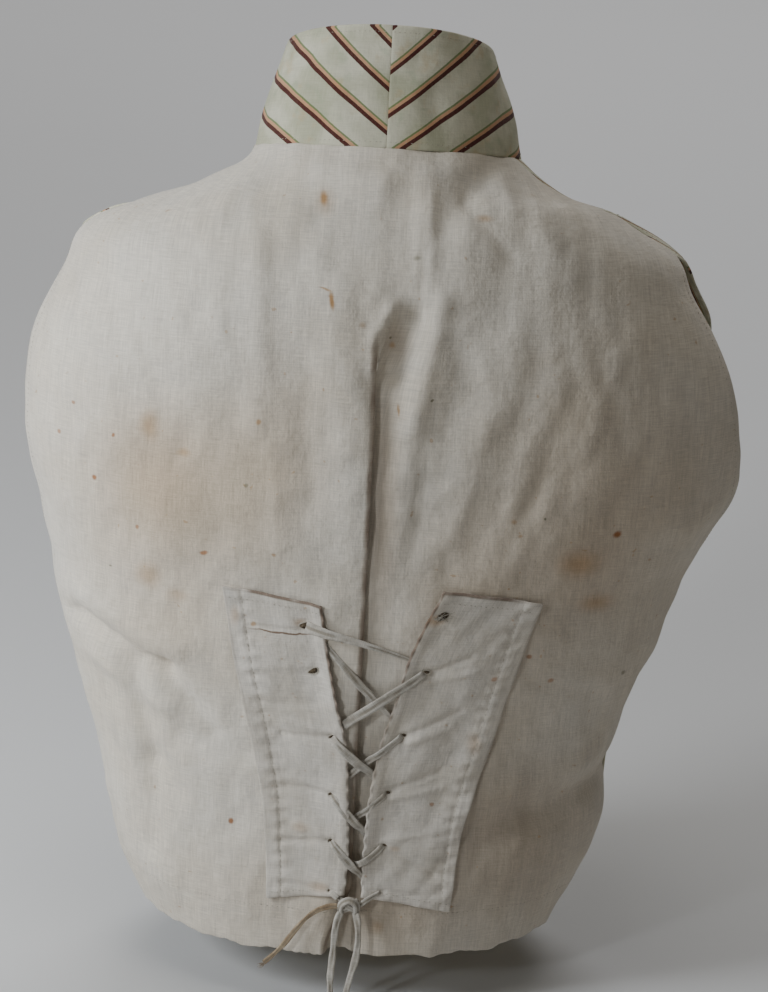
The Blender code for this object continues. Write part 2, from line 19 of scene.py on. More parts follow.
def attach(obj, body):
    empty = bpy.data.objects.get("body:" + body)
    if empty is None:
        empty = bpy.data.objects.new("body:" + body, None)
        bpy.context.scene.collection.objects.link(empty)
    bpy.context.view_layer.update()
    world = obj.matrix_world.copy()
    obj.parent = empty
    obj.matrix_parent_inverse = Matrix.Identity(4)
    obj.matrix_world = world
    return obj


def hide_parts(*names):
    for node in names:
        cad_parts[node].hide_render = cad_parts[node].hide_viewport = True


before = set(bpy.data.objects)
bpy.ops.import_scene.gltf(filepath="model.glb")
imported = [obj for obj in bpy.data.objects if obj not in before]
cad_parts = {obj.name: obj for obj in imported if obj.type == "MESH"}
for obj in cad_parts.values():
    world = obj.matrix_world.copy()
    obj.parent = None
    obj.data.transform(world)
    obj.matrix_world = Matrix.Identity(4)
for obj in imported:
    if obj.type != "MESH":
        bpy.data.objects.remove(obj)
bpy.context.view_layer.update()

LOG = logging.getLogger("waistcoat")
MM = 0.001
ORIGIN_HEIGHT = 430.0
BODY = "root"

Colour = tuple[float, float, float]
Points = np.ndarray
Socket = bpy.types.NodeSocket
Material = bpy.types.Material

SPECULAR = 0.18
SHEEN_ROUGHNESS = 0.6

# Sections of the filled garment: height over the hem, left half width, right half width, depth of the
# back, depth of the front, squareness of the back, rise of the back, drop of the middle front
SECTIONS = (
    (0, 118.5, 118, 96, 100, 2.3, 0.00, 0),
    (25, 131, 130, 95, 101, 2.35, 0.00, 0),
    (55, 139.5, 140.5, 94, 102, 2.4, 0.00, 0),
    (90, 146, 141.5, 95, 103, 2.4, 0.00, 0),
    (130, 158, 151.5, 98, 106, 2.4, 0.00, 0),
    (175, 170.5, 168.5, 104, 110, 2.45, 0.00, 0),
    (210, 177, 178.5, 109, 114, 2.5, 0.00, 0),
    (235, 182, 191, 113, 116, 2.55, 0.00, 0),
    (260, 189, 206, 115.5, 118, 2.6, 0.00, 0),
    (290, 193.5, 212, 117, 118, 2.6, 0.01, 0),
    (315, 192.5, 208, 117, 116, 2.6, 0.04, 1),
    (340, 184.5, 194, 115, 111, 2.6, 0.09, 3),
    (365, 170.5, 173.5, 108, 102, 2.5, 0.14, 6),
    (383, 161, 161, 100, 96, 2.4, 0.176, 8),
    (391, 148.5, 149, 95.5, 92.5, 2.35, 0.19, 9),
    (398, 129, 136, 91, 89, 2.3, 0.205, 10),
    (404, 112, 124, 86, 85.5, 2.25, 0.217, 11.5),
    (410, 97.5, 103, 80.5, 80.5, 2.2, 0.23, 13),
    (417, 83.5, 89.5, 74, 74.5, 2.15, 0.245, 14.5),
    (424, 74.5, 80, 67.5, 67.5, 2.1, 0.257, 16),
    (430, 71, 73, 62, 60, 2.1, 0.268, 18),
)

# Columns of the middle pleat: place when flat, place when folded, rise when folded, place at the hem,
# rise at the hem
PLEAT = (
    (-33.0, -33.0, 0.0, -34.0, 0.0),
    (-25.0, -24.0, 0.8, -27.5, 0.4),
    (-17.0, -15.5, 2.0, -21.0, 0.8),
    (-10.0, -8.0, 2.8, -16.0, 0.8),
    (-5.0, -2.6, 2.8, -13.0, 0.2),
    (-2.2, 0.5, 2.3, -11.4, -1.4),
    (0.0, 1.5, 0.7, -10.6, -4.0),
    (2.2, 0.3, -1.1, -10.0, -7.0),
    (5.0, -3.0, -1.5, -9.0, -9.4),
    (8.0, -6.2, -1.8, -7.0, -11.4),
    (10.0, -7.4, -2.9, -5.0, -12.2),
    (12.0, -6.2, -3.7, -2.8, -12.2),
    (16.0, -2.0, -3.5, 1.0, -9.8),
    (20.0, 3.0, -2.4, 4.6, -6.0),
    (25.0, 10.5, -1.6, 11.0, -2.8),
    (30.0, 20.0, -0.7, 20.0, -0.8),
    (37.0, 34.0, 0.0, 34.0, 0.0),
)
# How far the pleat is folded: height, share
PLEAT_FOLDED = (
    (0, 1.0),
    (280, 1.0),
    (304, 0.95),
    (322, 0.78),
    (335, 0.5),
    (346, 0.2),
    (354, 0.05),
    (360, 0.0),
    (430, 0.0),
)

# Soft folds of the back: start x and height, end x and height, half width, lift
BACK_FOLDS = (
    (-45, 437, 0, 432, 6, 1.6),
    (0, 432, 48, 438, 6, 1.6),
    (-60, 424, 15, 420, 9, -2.0),
    (50, 434, 33, 414, 8, -2.6),
    (22, 436, 24, 396, 7, 1.4),
    (18, 370, 11, 340, 9, -5.2),
    (12, 366, 8, 352, 6, -1.6),
    (-22, 376, -8, 300, 12, 2.0),
    (33, 376, 23, 312, 6.5, 3.0),
    (20, 320, 14, 225, 8, 1.8),
    (54, 364, 32, 258, 10, -1.2),
    (72, 366, 46, 250, 9, 0.5),
    (88, 350, 48, 228, 10, -1.1),
    (-63, 398, -59, 308, 9, 1.6),
    (-112, 330, -84, 250, 13, -1.6),
    (-156, 176, -106, 158, 5.5, -5.2),
    (-106, 158, -78, 124, 5.5, -4.6),
    (-150, 190, -98, 172, 8, 3.2),
    (-142, 156, -104, 136, 7, 4.0),
    (-124, 156, -112, 98, 6.5, -4.8),
    (-112, 98, -111, 44, 7.5, -3.6),
    (-94, 120, -62, 113, 7, -2.6),
    (68, 72, 98, 81, 9, -2.6),
    (98, 81, 136, 90, 9, -3.0),
    (66, 92, 130, 108, 10, 2.2),
)
# Soft folds of the fronts, in the same columns
FRONT_FOLDS = (
    (-120, 215, -40, 190, 14, -2.4),
    (125, 215, 45, 195, 14, -2.4),
    (-110, 110, -45, 92, 12, 2.2),
    (112, 96, 40, 84, 12, 2.2),
    (-95, 350, -60, 290, 12, 1.8),
    (95, 350, 58, 285, 12, 1.8),
    (-60, 60, -52, 10, 11, -2.0),
    (62, 56, 55, 8, 11, -2.0),
)
# Finer creases of the back, in the same columns
BACK_CREASES = (
    (18, 428, 20, 382, 2.6, 0.45),
    (25, 428, 27, 384, 2.4, 0.45),
    (22, 400, 23, 352, 2.4, -0.5),
    (0, 340, -1, 356, 3.6, 1.7),
    (-1, 358, 7, 371, 4.0, 1.8),
    (8, 374, 24, 378, 4.0, 1.5),
    (30, 366, 46, 372, 3.6, -0.6),
    (-4, 378, -34, 396, 4.4, 0.7),
    (-30, 420, -52, 392, 5.0, -0.7),
    (60, 428, 92, 404, 5.0, 1.1),
    (44, 424, 70, 398, 4.0, -1.2),
    (-90, 398, -80, 352, 5.0, 0.9),
    (-36, 330, -28, 268, 4.0, -0.8),
    (-52, 300, -46, 240, 4.4, 0.8),
    (30, 300, 24, 236, 3.6, -1.0),
    (38, 348, 30, 286, 3.6, 0.6),
    (62, 320, 50, 262, 4.0, 0.8),
    (104, 330, 82, 262, 5.0, -1.1),
    (128, 350, 112, 296, 5.0, 1.0),
    (150, 300, 130, 262, 5.0, -1.1),
    (-150, 330, -128, 290, 5.0, 0.6),
    (-164, 296, -140, 258, 5.0, -0.6),
    (-150, 196, -112, 178, 4.0, -1.0),
    (-140, 166, -104, 164, 3.6, 0.9),
    (-122, 146, -86, 136, 3.6, -1.0),
    (-138, 122, -118, 84, 4.0, 0.8),
    (-98, 104, -78, 86, 4.0, 0.7),
    (-90, 60, -70, 30, 4.0, -0.6),
    (92, 196, 122, 182, 4.0, 0.7),
    (96, 164, 130, 150, 4.0, -0.8),
    (84, 128, 124, 122, 4.0, 0.9),
    (76, 60, 112, 66, 3.6, 0.9),
    (82, 42, 118, 40, 4.0, -0.7),
    (-30, 22, -20, 4, 3.0, 0.6),
    (26, 24, 34, 3, 3.0, -0.6),
)

UNDERARM = 210.0
SHOULDER_TIP = 383.0
NECK = 430.0
BACK_HOLLOW = math.radians(12)
FRONT_HOLLOW = math.radians(22)
HOLLOW_ROUNDNESS = 0.6
LEFT_SEAM_BEHIND = 3.0
RIGHT_SEAM_BEHIND = 24.0
FRONT_SQUARENESS = 2.1
SEAM_GAP = 0.3
PROBE = 0.01

# Routes of the hanging lace, as in the solids: x, height, distance out from the back's section at the hem
LOOP_ROUTE = (
    (-3.5, 27.4, 5.4), (-5.2, 22.0, 6.2), (-6.0, 17.0, 6.8), (-6.4, 11.0, 7.2), (-6.7, 5.0, 7.2),
    (-6.9, -1.0, 7.0), (-7.2, -7.0, 6.7), (-7.4, -13.0, 6.4), (-6.8, -21.6, 6.2), (-3.4, -27.6, 6.2),
    (0.4, -25.4, 6.4), (2.0, -18.0, 6.6), (4.0, -8.0, 7.0), (5.4, -2.0, 7.4), (6.3, 4.0, 7.6),
    (6.8, 12.0, 7.4), (6.1, 21.6, 6.2), (4.7, 27.4, 5.4),
)
TAIL_ROUTE = (
    (-5.2, 31.0, 5.3), (-8.2, 30.7, 5.1), (-11.6, 29.8, 5.0), (-14.9, 28.3, 4.8), (-18.0, 26.4, 4.6),
    (-21.1, 23.6, 4.6), (-24.0, 20.4, 4.6), (-26.6, 16.9, 4.5), (-29.0, 13.4, 4.4), (-31.7, 9.3, 4.5),
    (-34.4, 5.6, 4.6), (-36.9, 2.6, 4.8), (-39.4, -0.2, 5.0), (-41.8, -2.6, 5.1), (-44.2, -5.0, 5.2),
)
HEM_DEPTH = 96.0
BEHIND = np.array((0.0, -1.0, 0.0))
UPWARDS = np.array((0.0, 0.0, 1.0))
# Place across the cut of a strand for each radian round it
STRAND_TURN = 0.35


class Side(Enum):
    """A side of the waistcoat, seen from behind as it is worn."""

    LEFT = -1
    RIGHT = 1


class Pass(Enum):
    """How a stretch of lace meets a panel."""

    OVER = "over"
    UNDER = "under"


class StripeLay(Enum):
    """How the striped cloth is laid on a piece."""

    BIAS = "bias"
    LENGTHWISE = "lengthwise"


def smooth_curve(places: Points, values: Points, at: Points) -> Points:
    """Reads a smooth curve through a short table.

    Args:
        places: The table's places, rising.
        values: The value at each place.
        at: Where to read it.

    Returns:
        The curve's values at those places.
    """
    slopes = np.gradient(values, places)
    row = np.clip(np.searchsorted(places, at) - 1, 0, len(places) - 2)
    span = places[row + 1] - places[row]
    share = (at - places[row]) / span
    rest = 1 - share
    start = (1 + 2 * share) * rest**2 * values[row] + share * rest**2 * span * slopes[row]
    end = share**2 * (3 - 2 * share) * values[row + 1] - share**2 * rest * span * slopes[row + 1]
    return start + end


def read_table(rows: Sequence[Sequence[float]], at: Points) -> list[Points]:
    """Smooth curves through a table's later columns, read at places of its first one."""
    table = np.array(rows, dtype=float)
    return [smooth_curve(table[:, 0], column, at) for column in table.T[1:]]


def smooth_step(start: float, end: float, value: Points) -> Points:
    """Rises softly from 0 at start to 1 at end."""
    share = np.clip((value - start) / (end - start), 0.0, 1.0)
    return share * share * (3 - 2 * share)


def fold_lift(folds: Sequence[Sequence[float]], x: Points, height: Points) -> Points:
    """Sums soft folds at some places.

    Args:
        folds: Rows of start x and height, end x and height, half width and lift.
        x: Distance from the middle.
        height: Height over the hem.

    Returns:
        The lift at each place.
    """
    total = np.zeros_like(x, dtype=float)
    for start_x, start_height, end_x, end_height, half_width, lift in folds:
        run_x = end_x - start_x
        run_up = end_height - start_height
        run = math.hypot(run_x, run_up)
        along = ((x - start_x) * run_x + (height - start_height) * run_up) / run
        across = ((x - start_x) * run_up - (height - start_height) * run_x) / run
        beyond = np.maximum(np.maximum(-along, along - run), 0.0)
        total += lift * np.exp(-((across / half_width) ** 2) - (beyond / half_width) ** 2)
    return total


def unit(vectors: Points) -> Points:
    """Vectors scaled to length 1."""
    return vectors / np.linalg.norm(vectors, axis=-1, keepdims=True)


def to_world(points: Points) -> Points:
    """Turns millimetres with heights over the hem into metres in the row frame."""
    return (points - np.array((0.0, 0.0, ORIGIN_HEIGHT))) * MM


def chord_lengths(points: Points) -> Points:
    """Distance along a line of points, from its first one."""
    return np.concatenate(((0.0,), np.cumsum(np.linalg.norm(np.diff(points, axis=0), axis=1))))


def along_line(points: Points, lengths: Points, at: Points) -> Points:
    """Places at some lengths along a line of points."""
    return np.stack([np.interp(at, lengths, points[:, axis]) for axis in range(3)], axis=1)


def even_points(route: Points, step: float) -> Points:
    """Points at an even step along a smooth curve through a route.

    Args:
        route: The route's points.
        step: Distance between the new points.

    Returns:
        The new points, from the route's first point to its last.
    """
    places = np.arange(len(route), dtype=float)
    fine = np.linspace(0.0, len(route) - 1.0, 24 * (len(route) - 1) + 1)
    dense = np.stack([smooth_curve(places, route[:, axis], fine) for axis in range(3)], axis=1)
    lengths = chord_lengths(dense)
    stops = np.linspace(0.0, lengths[-1], int(round(lengths[-1] / step)) + 1)
    return along_line(dense, lengths, stops)


def section_points(angles: Points, heights: Points | float, sizes: Sequence[Points | float]) -> Points:
    """Finds places on sections of a filled form.

    Args:
        angles: Angle from the middle of the back, positive towards +X.
        heights: Height over the hem.
        sizes: The sections' seven sizes, in the order of the columns of SECTIONS.

    Returns:
        One point for each angle.
    """
    left, right, back, front, squareness, rise, drop = sizes
    sine, cosine = np.sin(angles), np.cos(angles)
    width = np.where(sine > 0, right, left)
    depth = np.where(cosine > 0, back, front)
    power = np.where(cosine > 0, squareness, FRONT_SQUARENESS)
    radius = ((np.abs(sine) / width) ** power + (np.abs(cosine) / depth) ** power) ** (-1 / power)
    x, y = radius * sine, -radius * cosine
    return np.stack((x, y, heights - rise * y - drop * (np.maximum(y, 0.0) / front) ** 2), axis=-1)


def row_heights(low_step: float, high_step: float) -> Points:
    """Heights of a cloth's rows, closer together over the shoulders.

    Args:
        low_step: Step up to the tip of the shoulder.
        high_step: Largest step from there to the neck.

    Returns:
        The heights, from the hem up.
    """
    low = np.arange(0.0, SHOULDER_TIP, low_step)
    high = np.linspace(SHOULDER_TIP, NECK, int((NECK - SHOULDER_TIP) / high_step) + 1)
    return np.concatenate((low, high))


def tube_faces(rings: int, sides: int) -> list[tuple[int, ...]]:
    """Faces of a closed tube, whose points run round one ring after the other.

    Args:
        rings: How many rings it has.
        sides: How many points each ring has.

    Returns:
        The faces round it, then its two ends.
    """
    faces = []
    for ring in range(rings - 1):
        for side in range(sides):
            after = (side + 1) % sides
            low, high = ring * sides, (ring + 1) * sides
            faces.append((low + side, high + side, high + after, low + after))
    last = (rings - 1) * sides
    faces.append(tuple(range(sides)))
    faces.append(tuple(last + side for side in reversed(range(sides))))
    return faces


def add_object(name: str, data: bpy.types.ID) -> bpy.types.Object:
    """Puts a new object into the scene.

    Args:
        name: The object's name.
        data: Its mesh, lamp or camera.

    Returns:
        The new object.
    """
    made = bpy.data.objects.new(name, data)
    bpy.context.scene.collection.objects.link(made)
    return made


@dataclass(frozen=True)
class GarmentForm:
    """The filled form that every cloth follows, read by angle from the middle of the back and by height."""

    sections: tuple[tuple[float, ...], ...] = SECTIONS

    def sizes(self, heights: Points) -> list[Points]:
        """The section's seven sizes at some heights."""
        return read_table(self.sections, heights)

    def points(self, angles: Points, heights: Points) -> Points:
        """Places on the form at some angles and heights."""
        return section_points(angles, heights, self.sizes(heights))

    def normals(self, angles: Points, heights: Points) -> Points:
        """Directions straight out of the form.

        Args:
            angles: Angle from the middle of the back.
            heights: Height over the hem.

        Returns:
            One direction for each place, of length 1.
        """
        low = np.maximum(heights - PROBE, 0.0)
        around = self.points(angles + PROBE, heights) - self.points(angles - PROBE, heights)
        upward = self.points(angles, low + 2 * PROBE) - self.points(angles, low)
        return unit(np.cross(around, upward))

    def lifted(self, angles: Points, heights: Points, lift: Points) -> Points:
        """Places on the form, moved straight out by lift."""
        return self.points(angles, heights) + np.asarray(lift)[..., None] * self.normals(angles, heights)

    def back_angles(self, x: Points, heights: Points) -> Points:
        """Angles at which the back of the form reaches x.

        Args:
            x: Distance from the middle of the back.
            heights: Height over the hem.

        Returns:
            The angle of each place.
        """
        left, right, back, _, squareness, _, _ = self.sizes(heights)
        width = np.where(x > 0, right, left)
        share = np.clip(np.abs(x) / width, 0.0, 0.999)
        return np.arctan2(x, back * (1 - share**squareness) ** (1 / squareness))

    def back_point(self, x: Points, heights: Points, lift: Points) -> Points:
        """Places on the back over x and height, lifted with the back's own folds."""
        angles = self.back_angles(x, heights)
        return self.lifted(angles, heights, lift + fold_lift(BACK_FOLDS, x, heights))

    def shoulder_angle(self, height: float, side: Side) -> float:
        """Angle of the shoulder seam, a little behind the widest line.

        Args:
            height: Height over the hem.
            side: The side of the waistcoat.

        Returns:
            The angle, counted from the middle of the back.
        """
        left, right = self.sizes(np.array((height,)))[:2]
        if side is Side.RIGHT:
            return math.atan2(right[0], RIGHT_SEAM_BEHIND)
        return math.atan2(left[0], LEFT_SEAM_BEHIND)

    def edge_angle(self, height: float, side: Side, hollow: float) -> float:
        """Finds where a panel ends: its side seam, then its armhole, then its shoulder seam.

        Args:
            height: Height over the hem.
            side: The side of the waistcoat.
            hollow: How far the armhole is cut in, as an angle.

        Returns:
            The angle of the edge, counted from the middle of the back.
        """
        if height <= UNDERARM:
            return math.pi / 2
        if height >= SHOULDER_TIP:
            return self.shoulder_angle(height, side)
        share = (height - UNDERARM) / (SHOULDER_TIP - UNDERARM)
        seam = math.pi / 2 + share * (self.shoulder_angle(SHOULDER_TIP, side) - math.pi / 2)
        return seam + hollow * math.sin(math.pi * share) ** HOLLOW_ROUNDNESS


class LevelRow:
    """One level row of the form, read by the length along it from the middle of the back."""

    SAMPLES = 360
    REACH = 1.15 * math.pi

    def __init__(self, form: GarmentForm, height: float) -> None:
        """Measures the row.

        Args:
            form: The garment's form.
            height: Height over the hem.
        """
        self.angles = np.linspace(-self.REACH, self.REACH, 2 * self.SAMPLES + 1)
        points = form.points(self.angles, np.full_like(self.angles, height))
        self.lengths = chord_lengths(points)
        self.lengths -= self.lengths[self.SAMPLES]

    def length_to(self, angle: float) -> float:
        """Length from the middle of the back to an angle."""
        return float(np.interp(angle, self.angles, self.lengths))

    def angles_at(self, lengths: Points) -> Points:
        """Angles at some lengths from the middle of the back."""
        return np.interp(lengths, self.lengths, self.angles)


@dataclass(frozen=True)
class Crumple:
    """Soft unevenness of worn cotton, as a seeded sum of small waves."""

    seed: int
    waves: int = 34
    shortest: float = 13.0
    longest: float = 70.0
    height: float = 0.22
    drift: float = 7.0
    stretch: float = 0.6

    def lift(self, across: Points, up: Points) -> Points:
        """Lift at some places of the cut.

        Args:
            across: Place across the cut.
            up: Place up the cut.

        Returns:
            The lift at each place.
        """
        draws = np.random.default_rng(self.seed)
        moved_across = across + self.drift * np.sin(up / 31.0 + 1.3) + 0.4 * self.drift * np.sin(up / 13.0)
        moved_up = self.stretch * up + self.drift * np.sin(across / 27.0 + 0.4)
        total = np.zeros_like(across, dtype=float)
        for _ in range(self.waves):
            length = math.exp(draws.uniform(math.log(self.shortest), math.log(self.longest)))
            turn = draws.uniform(0.0, math.pi)
            phase = draws.uniform(0.0, 2 * math.pi)
            along = moved_across * math.cos(turn) + moved_up * math.sin(turn)
            wave = np.sin(2 * math.pi * along / length + phase)
            total += self.height * (length / self.longest) ** 0.8 * wave
        return total


class MeshParts:
    """Gathers points and faces into one mesh."""

    def __init__(self) -> None:
        """Starts empty."""
        self.points: list[Points] = []
        self.faces: list[list[int]] = []
        self.cut: list[Points] = []
        self.count = 0

    def add(self, points: Points, faces: Sequence[Sequence[int]], cut: Points | None = None) -> None:
        """Adds one closed body.

        Args:
            points: Its points, in metres.
            faces: Its faces, as indices into the points.
            cut: Each point's place in the cut and, where it has a third column, its distance from the edge,
                in metres, or None for its own x and z.
        """
        self.points.append(points)
        self.faces += [[index + self.count for index in face] for face in faces]
        self.cut.append(points[:, (0, 2)] if cut is None else cut)
        self.count += len(points)

    def build(self, name: str, finish: Material, slot: str) -> bpy.types.Object:
        """Makes the object and lets it ride on the waistcoat's body.

        Args:
            name: The piece's name.
            finish: Its material.
            slot: Not used.

        Returns:
            The new object.
        """
        points = np.concatenate(self.points)
        mesh = bpy.data.meshes.new(name)
        mesh.from_pydata(points.tolist(), [], self.faces)
        layer = mesh.attributes.new("cut", "FLOAT_VECTOR", "POINT")
        flat = np.zeros((len(points), 3), dtype=np.float32)
        places = np.concatenate(self.cut)
        flat[:, : places.shape[1]] = places
        layer.data.foreach_set("vector", flat.ravel())
        mesh.shade_smooth()
        mesh.materials.append(finish)
        made = add_object(name, mesh)
        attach(made, BODY)
        return made


def grid_normals(grid: Points) -> Points:
    """Normals of a grid of points whose columns run to +angle and rows run up."""
    return unit(np.cross(np.gradient(grid, axis=1), np.gradient(grid, axis=0)))


@dataclass
class ClothShell:
    """Closed thin sheet of cloth with rounded edges, made behind a grid of outer points."""

    outer: Points
    cut: Points
    thickness: float = 1.0
    edge_turns: tuple[float, ...] = (45.0, 90.0, 135.0)

    def flat_size(self) -> tuple[float, float]:
        """Measures the cut.

        Returns:
            Its width and length in metres, from the widest row and the longest column.
        """
        rows = np.linalg.norm(np.diff(self.outer, axis=1), axis=2).sum(axis=1)
        columns = np.linalg.norm(np.diff(self.outer, axis=0), axis=2).sum(axis=0)
        return float(rows.max()) * MM, float(columns.max()) * MM

    def edge_directions(self) -> Points:
        """Finds which way the sheet's border faces.

        Returns:
            Directions in the sheet's own plane, away from it, and zero inside its border.
        """
        outward = np.zeros_like(self.outer)
        outward[0] += unit(self.outer[0] - self.outer[1])
        outward[-1] += unit(self.outer[-1] - self.outer[-2])
        outward[:, 0] += unit(self.outer[:, 0] - self.outer[:, 1])
        outward[:, -1] += unit(self.outer[:, -1] - self.outer[:, -2])
        return outward

    def parts(self) -> MeshParts:
        """Makes the sheet's points and faces.

        Returns:
            One closed body: the outside, the inside and the rounded border between them.
        """
        rows, columns = self.outer.shape[:2]
        inner = self.outer - self.thickness * grid_normals(self.outer)
        index = np.arange(rows * columns).reshape(rows, columns)
        corners = (index[:-1, :-1], index[:-1, 1:], index[1:, 1:], index[1:, :-1])
        outside = np.stack([corner.ravel() for corner in corners], axis=1)
        inside = outside[:, ::-1] + rows * columns
        border = np.concatenate((index[0, :-1], index[:-1, -1], index[-1, :0:-1], index[:0:-1, 0]))
        outer_flat = self.outer.reshape(-1, 3)
        inner_flat = inner.reshape(-1, 3)
        cut_flat = self.cut.reshape(-1, self.cut.shape[-1])
        middle = (outer_flat[border] + inner_flat[border]) / 2
        half = (outer_flat[border] - inner_flat[border]) / 2
        outward = unit(self.edge_directions().reshape(-1, 3)[border]) * self.thickness / 2
        loops = [border]
        points = [outer_flat, inner_flat]
        cuts = [cut_flat, cut_flat]
        start = 2 * rows * columns
        for turn in np.radians(self.edge_turns):
            points.append(middle + half * math.cos(turn) + outward * math.sin(turn))
            cuts.append(cut_flat[border])
            loops.append(np.arange(start, start + len(border)))
            start += len(border)
        loops.append(border + rows * columns)
        sides = []
        for first, second in zip(loops, loops[1:]):
            after_first, after_second = np.roll(first, -1), np.roll(second, -1)
            sides.append(np.stack((first, second, after_second, after_first), axis=1))
        parts = MeshParts()
        faces = np.concatenate([outside, inside, *sides]).tolist()
        parts.add(to_world(np.concatenate(points)), faces, np.concatenate(cuts) * MM)
        return parts

    def dress(self, name: str, finish: Material, slot: str, held: str) -> bpy.types.Object:
        """Makes the piece in place of its solid and logs the size of its cut.

        Args:
            name: The piece's name, which is its solid's name with _cloth after it.
            finish: Its material.
            slot: The record's material slot.
            held: Not used.

        Returns:
            The new object, which stands for its solid.
        """
        made = self.parts().build(f"{name}_cloth", finish, slot)
        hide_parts(name)
        LOG.info("%s: cut of %.0f x %.0f mm", made.name, *(side / MM for side in self.flat_size()))
        return made


@dataclass
class Strand:
    """A strand with a shaped cross-section, swept along a line of centres.

    outward is one direction for each centre or one for all of them, and a groove runs along the outside.
    """

    centres: Points
    outward: Points
    widths: Points
    heights: Points
    groove: float = 0.0
    sides: int = 20
    squareness: float = 0.75

    def add_to(self, parts: MeshParts) -> None:
        """Adds the swept strand, with closed ends, to a mesh.

        Args:
            parts: The mesh that takes it.
        """
        along = unit(np.gradient(self.centres, axis=0))
        sideways = unit(np.cross(self.outward, along))
        outward = np.cross(along, sideways)
        turns = 2 * math.pi * np.arange(self.sides) / self.sides
        across = np.sign(np.cos(turns)) * np.abs(np.cos(turns)) ** self.squareness
        above = np.sign(np.sin(turns)) * np.abs(np.sin(turns)) ** self.squareness
        above = above * (1 - self.groove * np.exp(-((across / 0.24) ** 2)) * (above > 0))
        wide = across[None] * self.widths[:, None] / 2
        tall = above[None] * self.heights[:, None] / 2
        rings = self.centres[:, None] + sideways[:, None] * wide[..., None]
        rings = rings + outward[:, None] * tall[..., None]
        faces = tube_faces(len(self.centres), self.sides)
        lengths = chord_lengths(self.centres)
        place = np.stack(np.broadcast_arrays(STRAND_TURN * turns[None], lengths[:, None]), axis=-1)
        parts.add(to_world(rings.reshape(-1, 3)), faces, place.reshape(-1, 2) * MM)


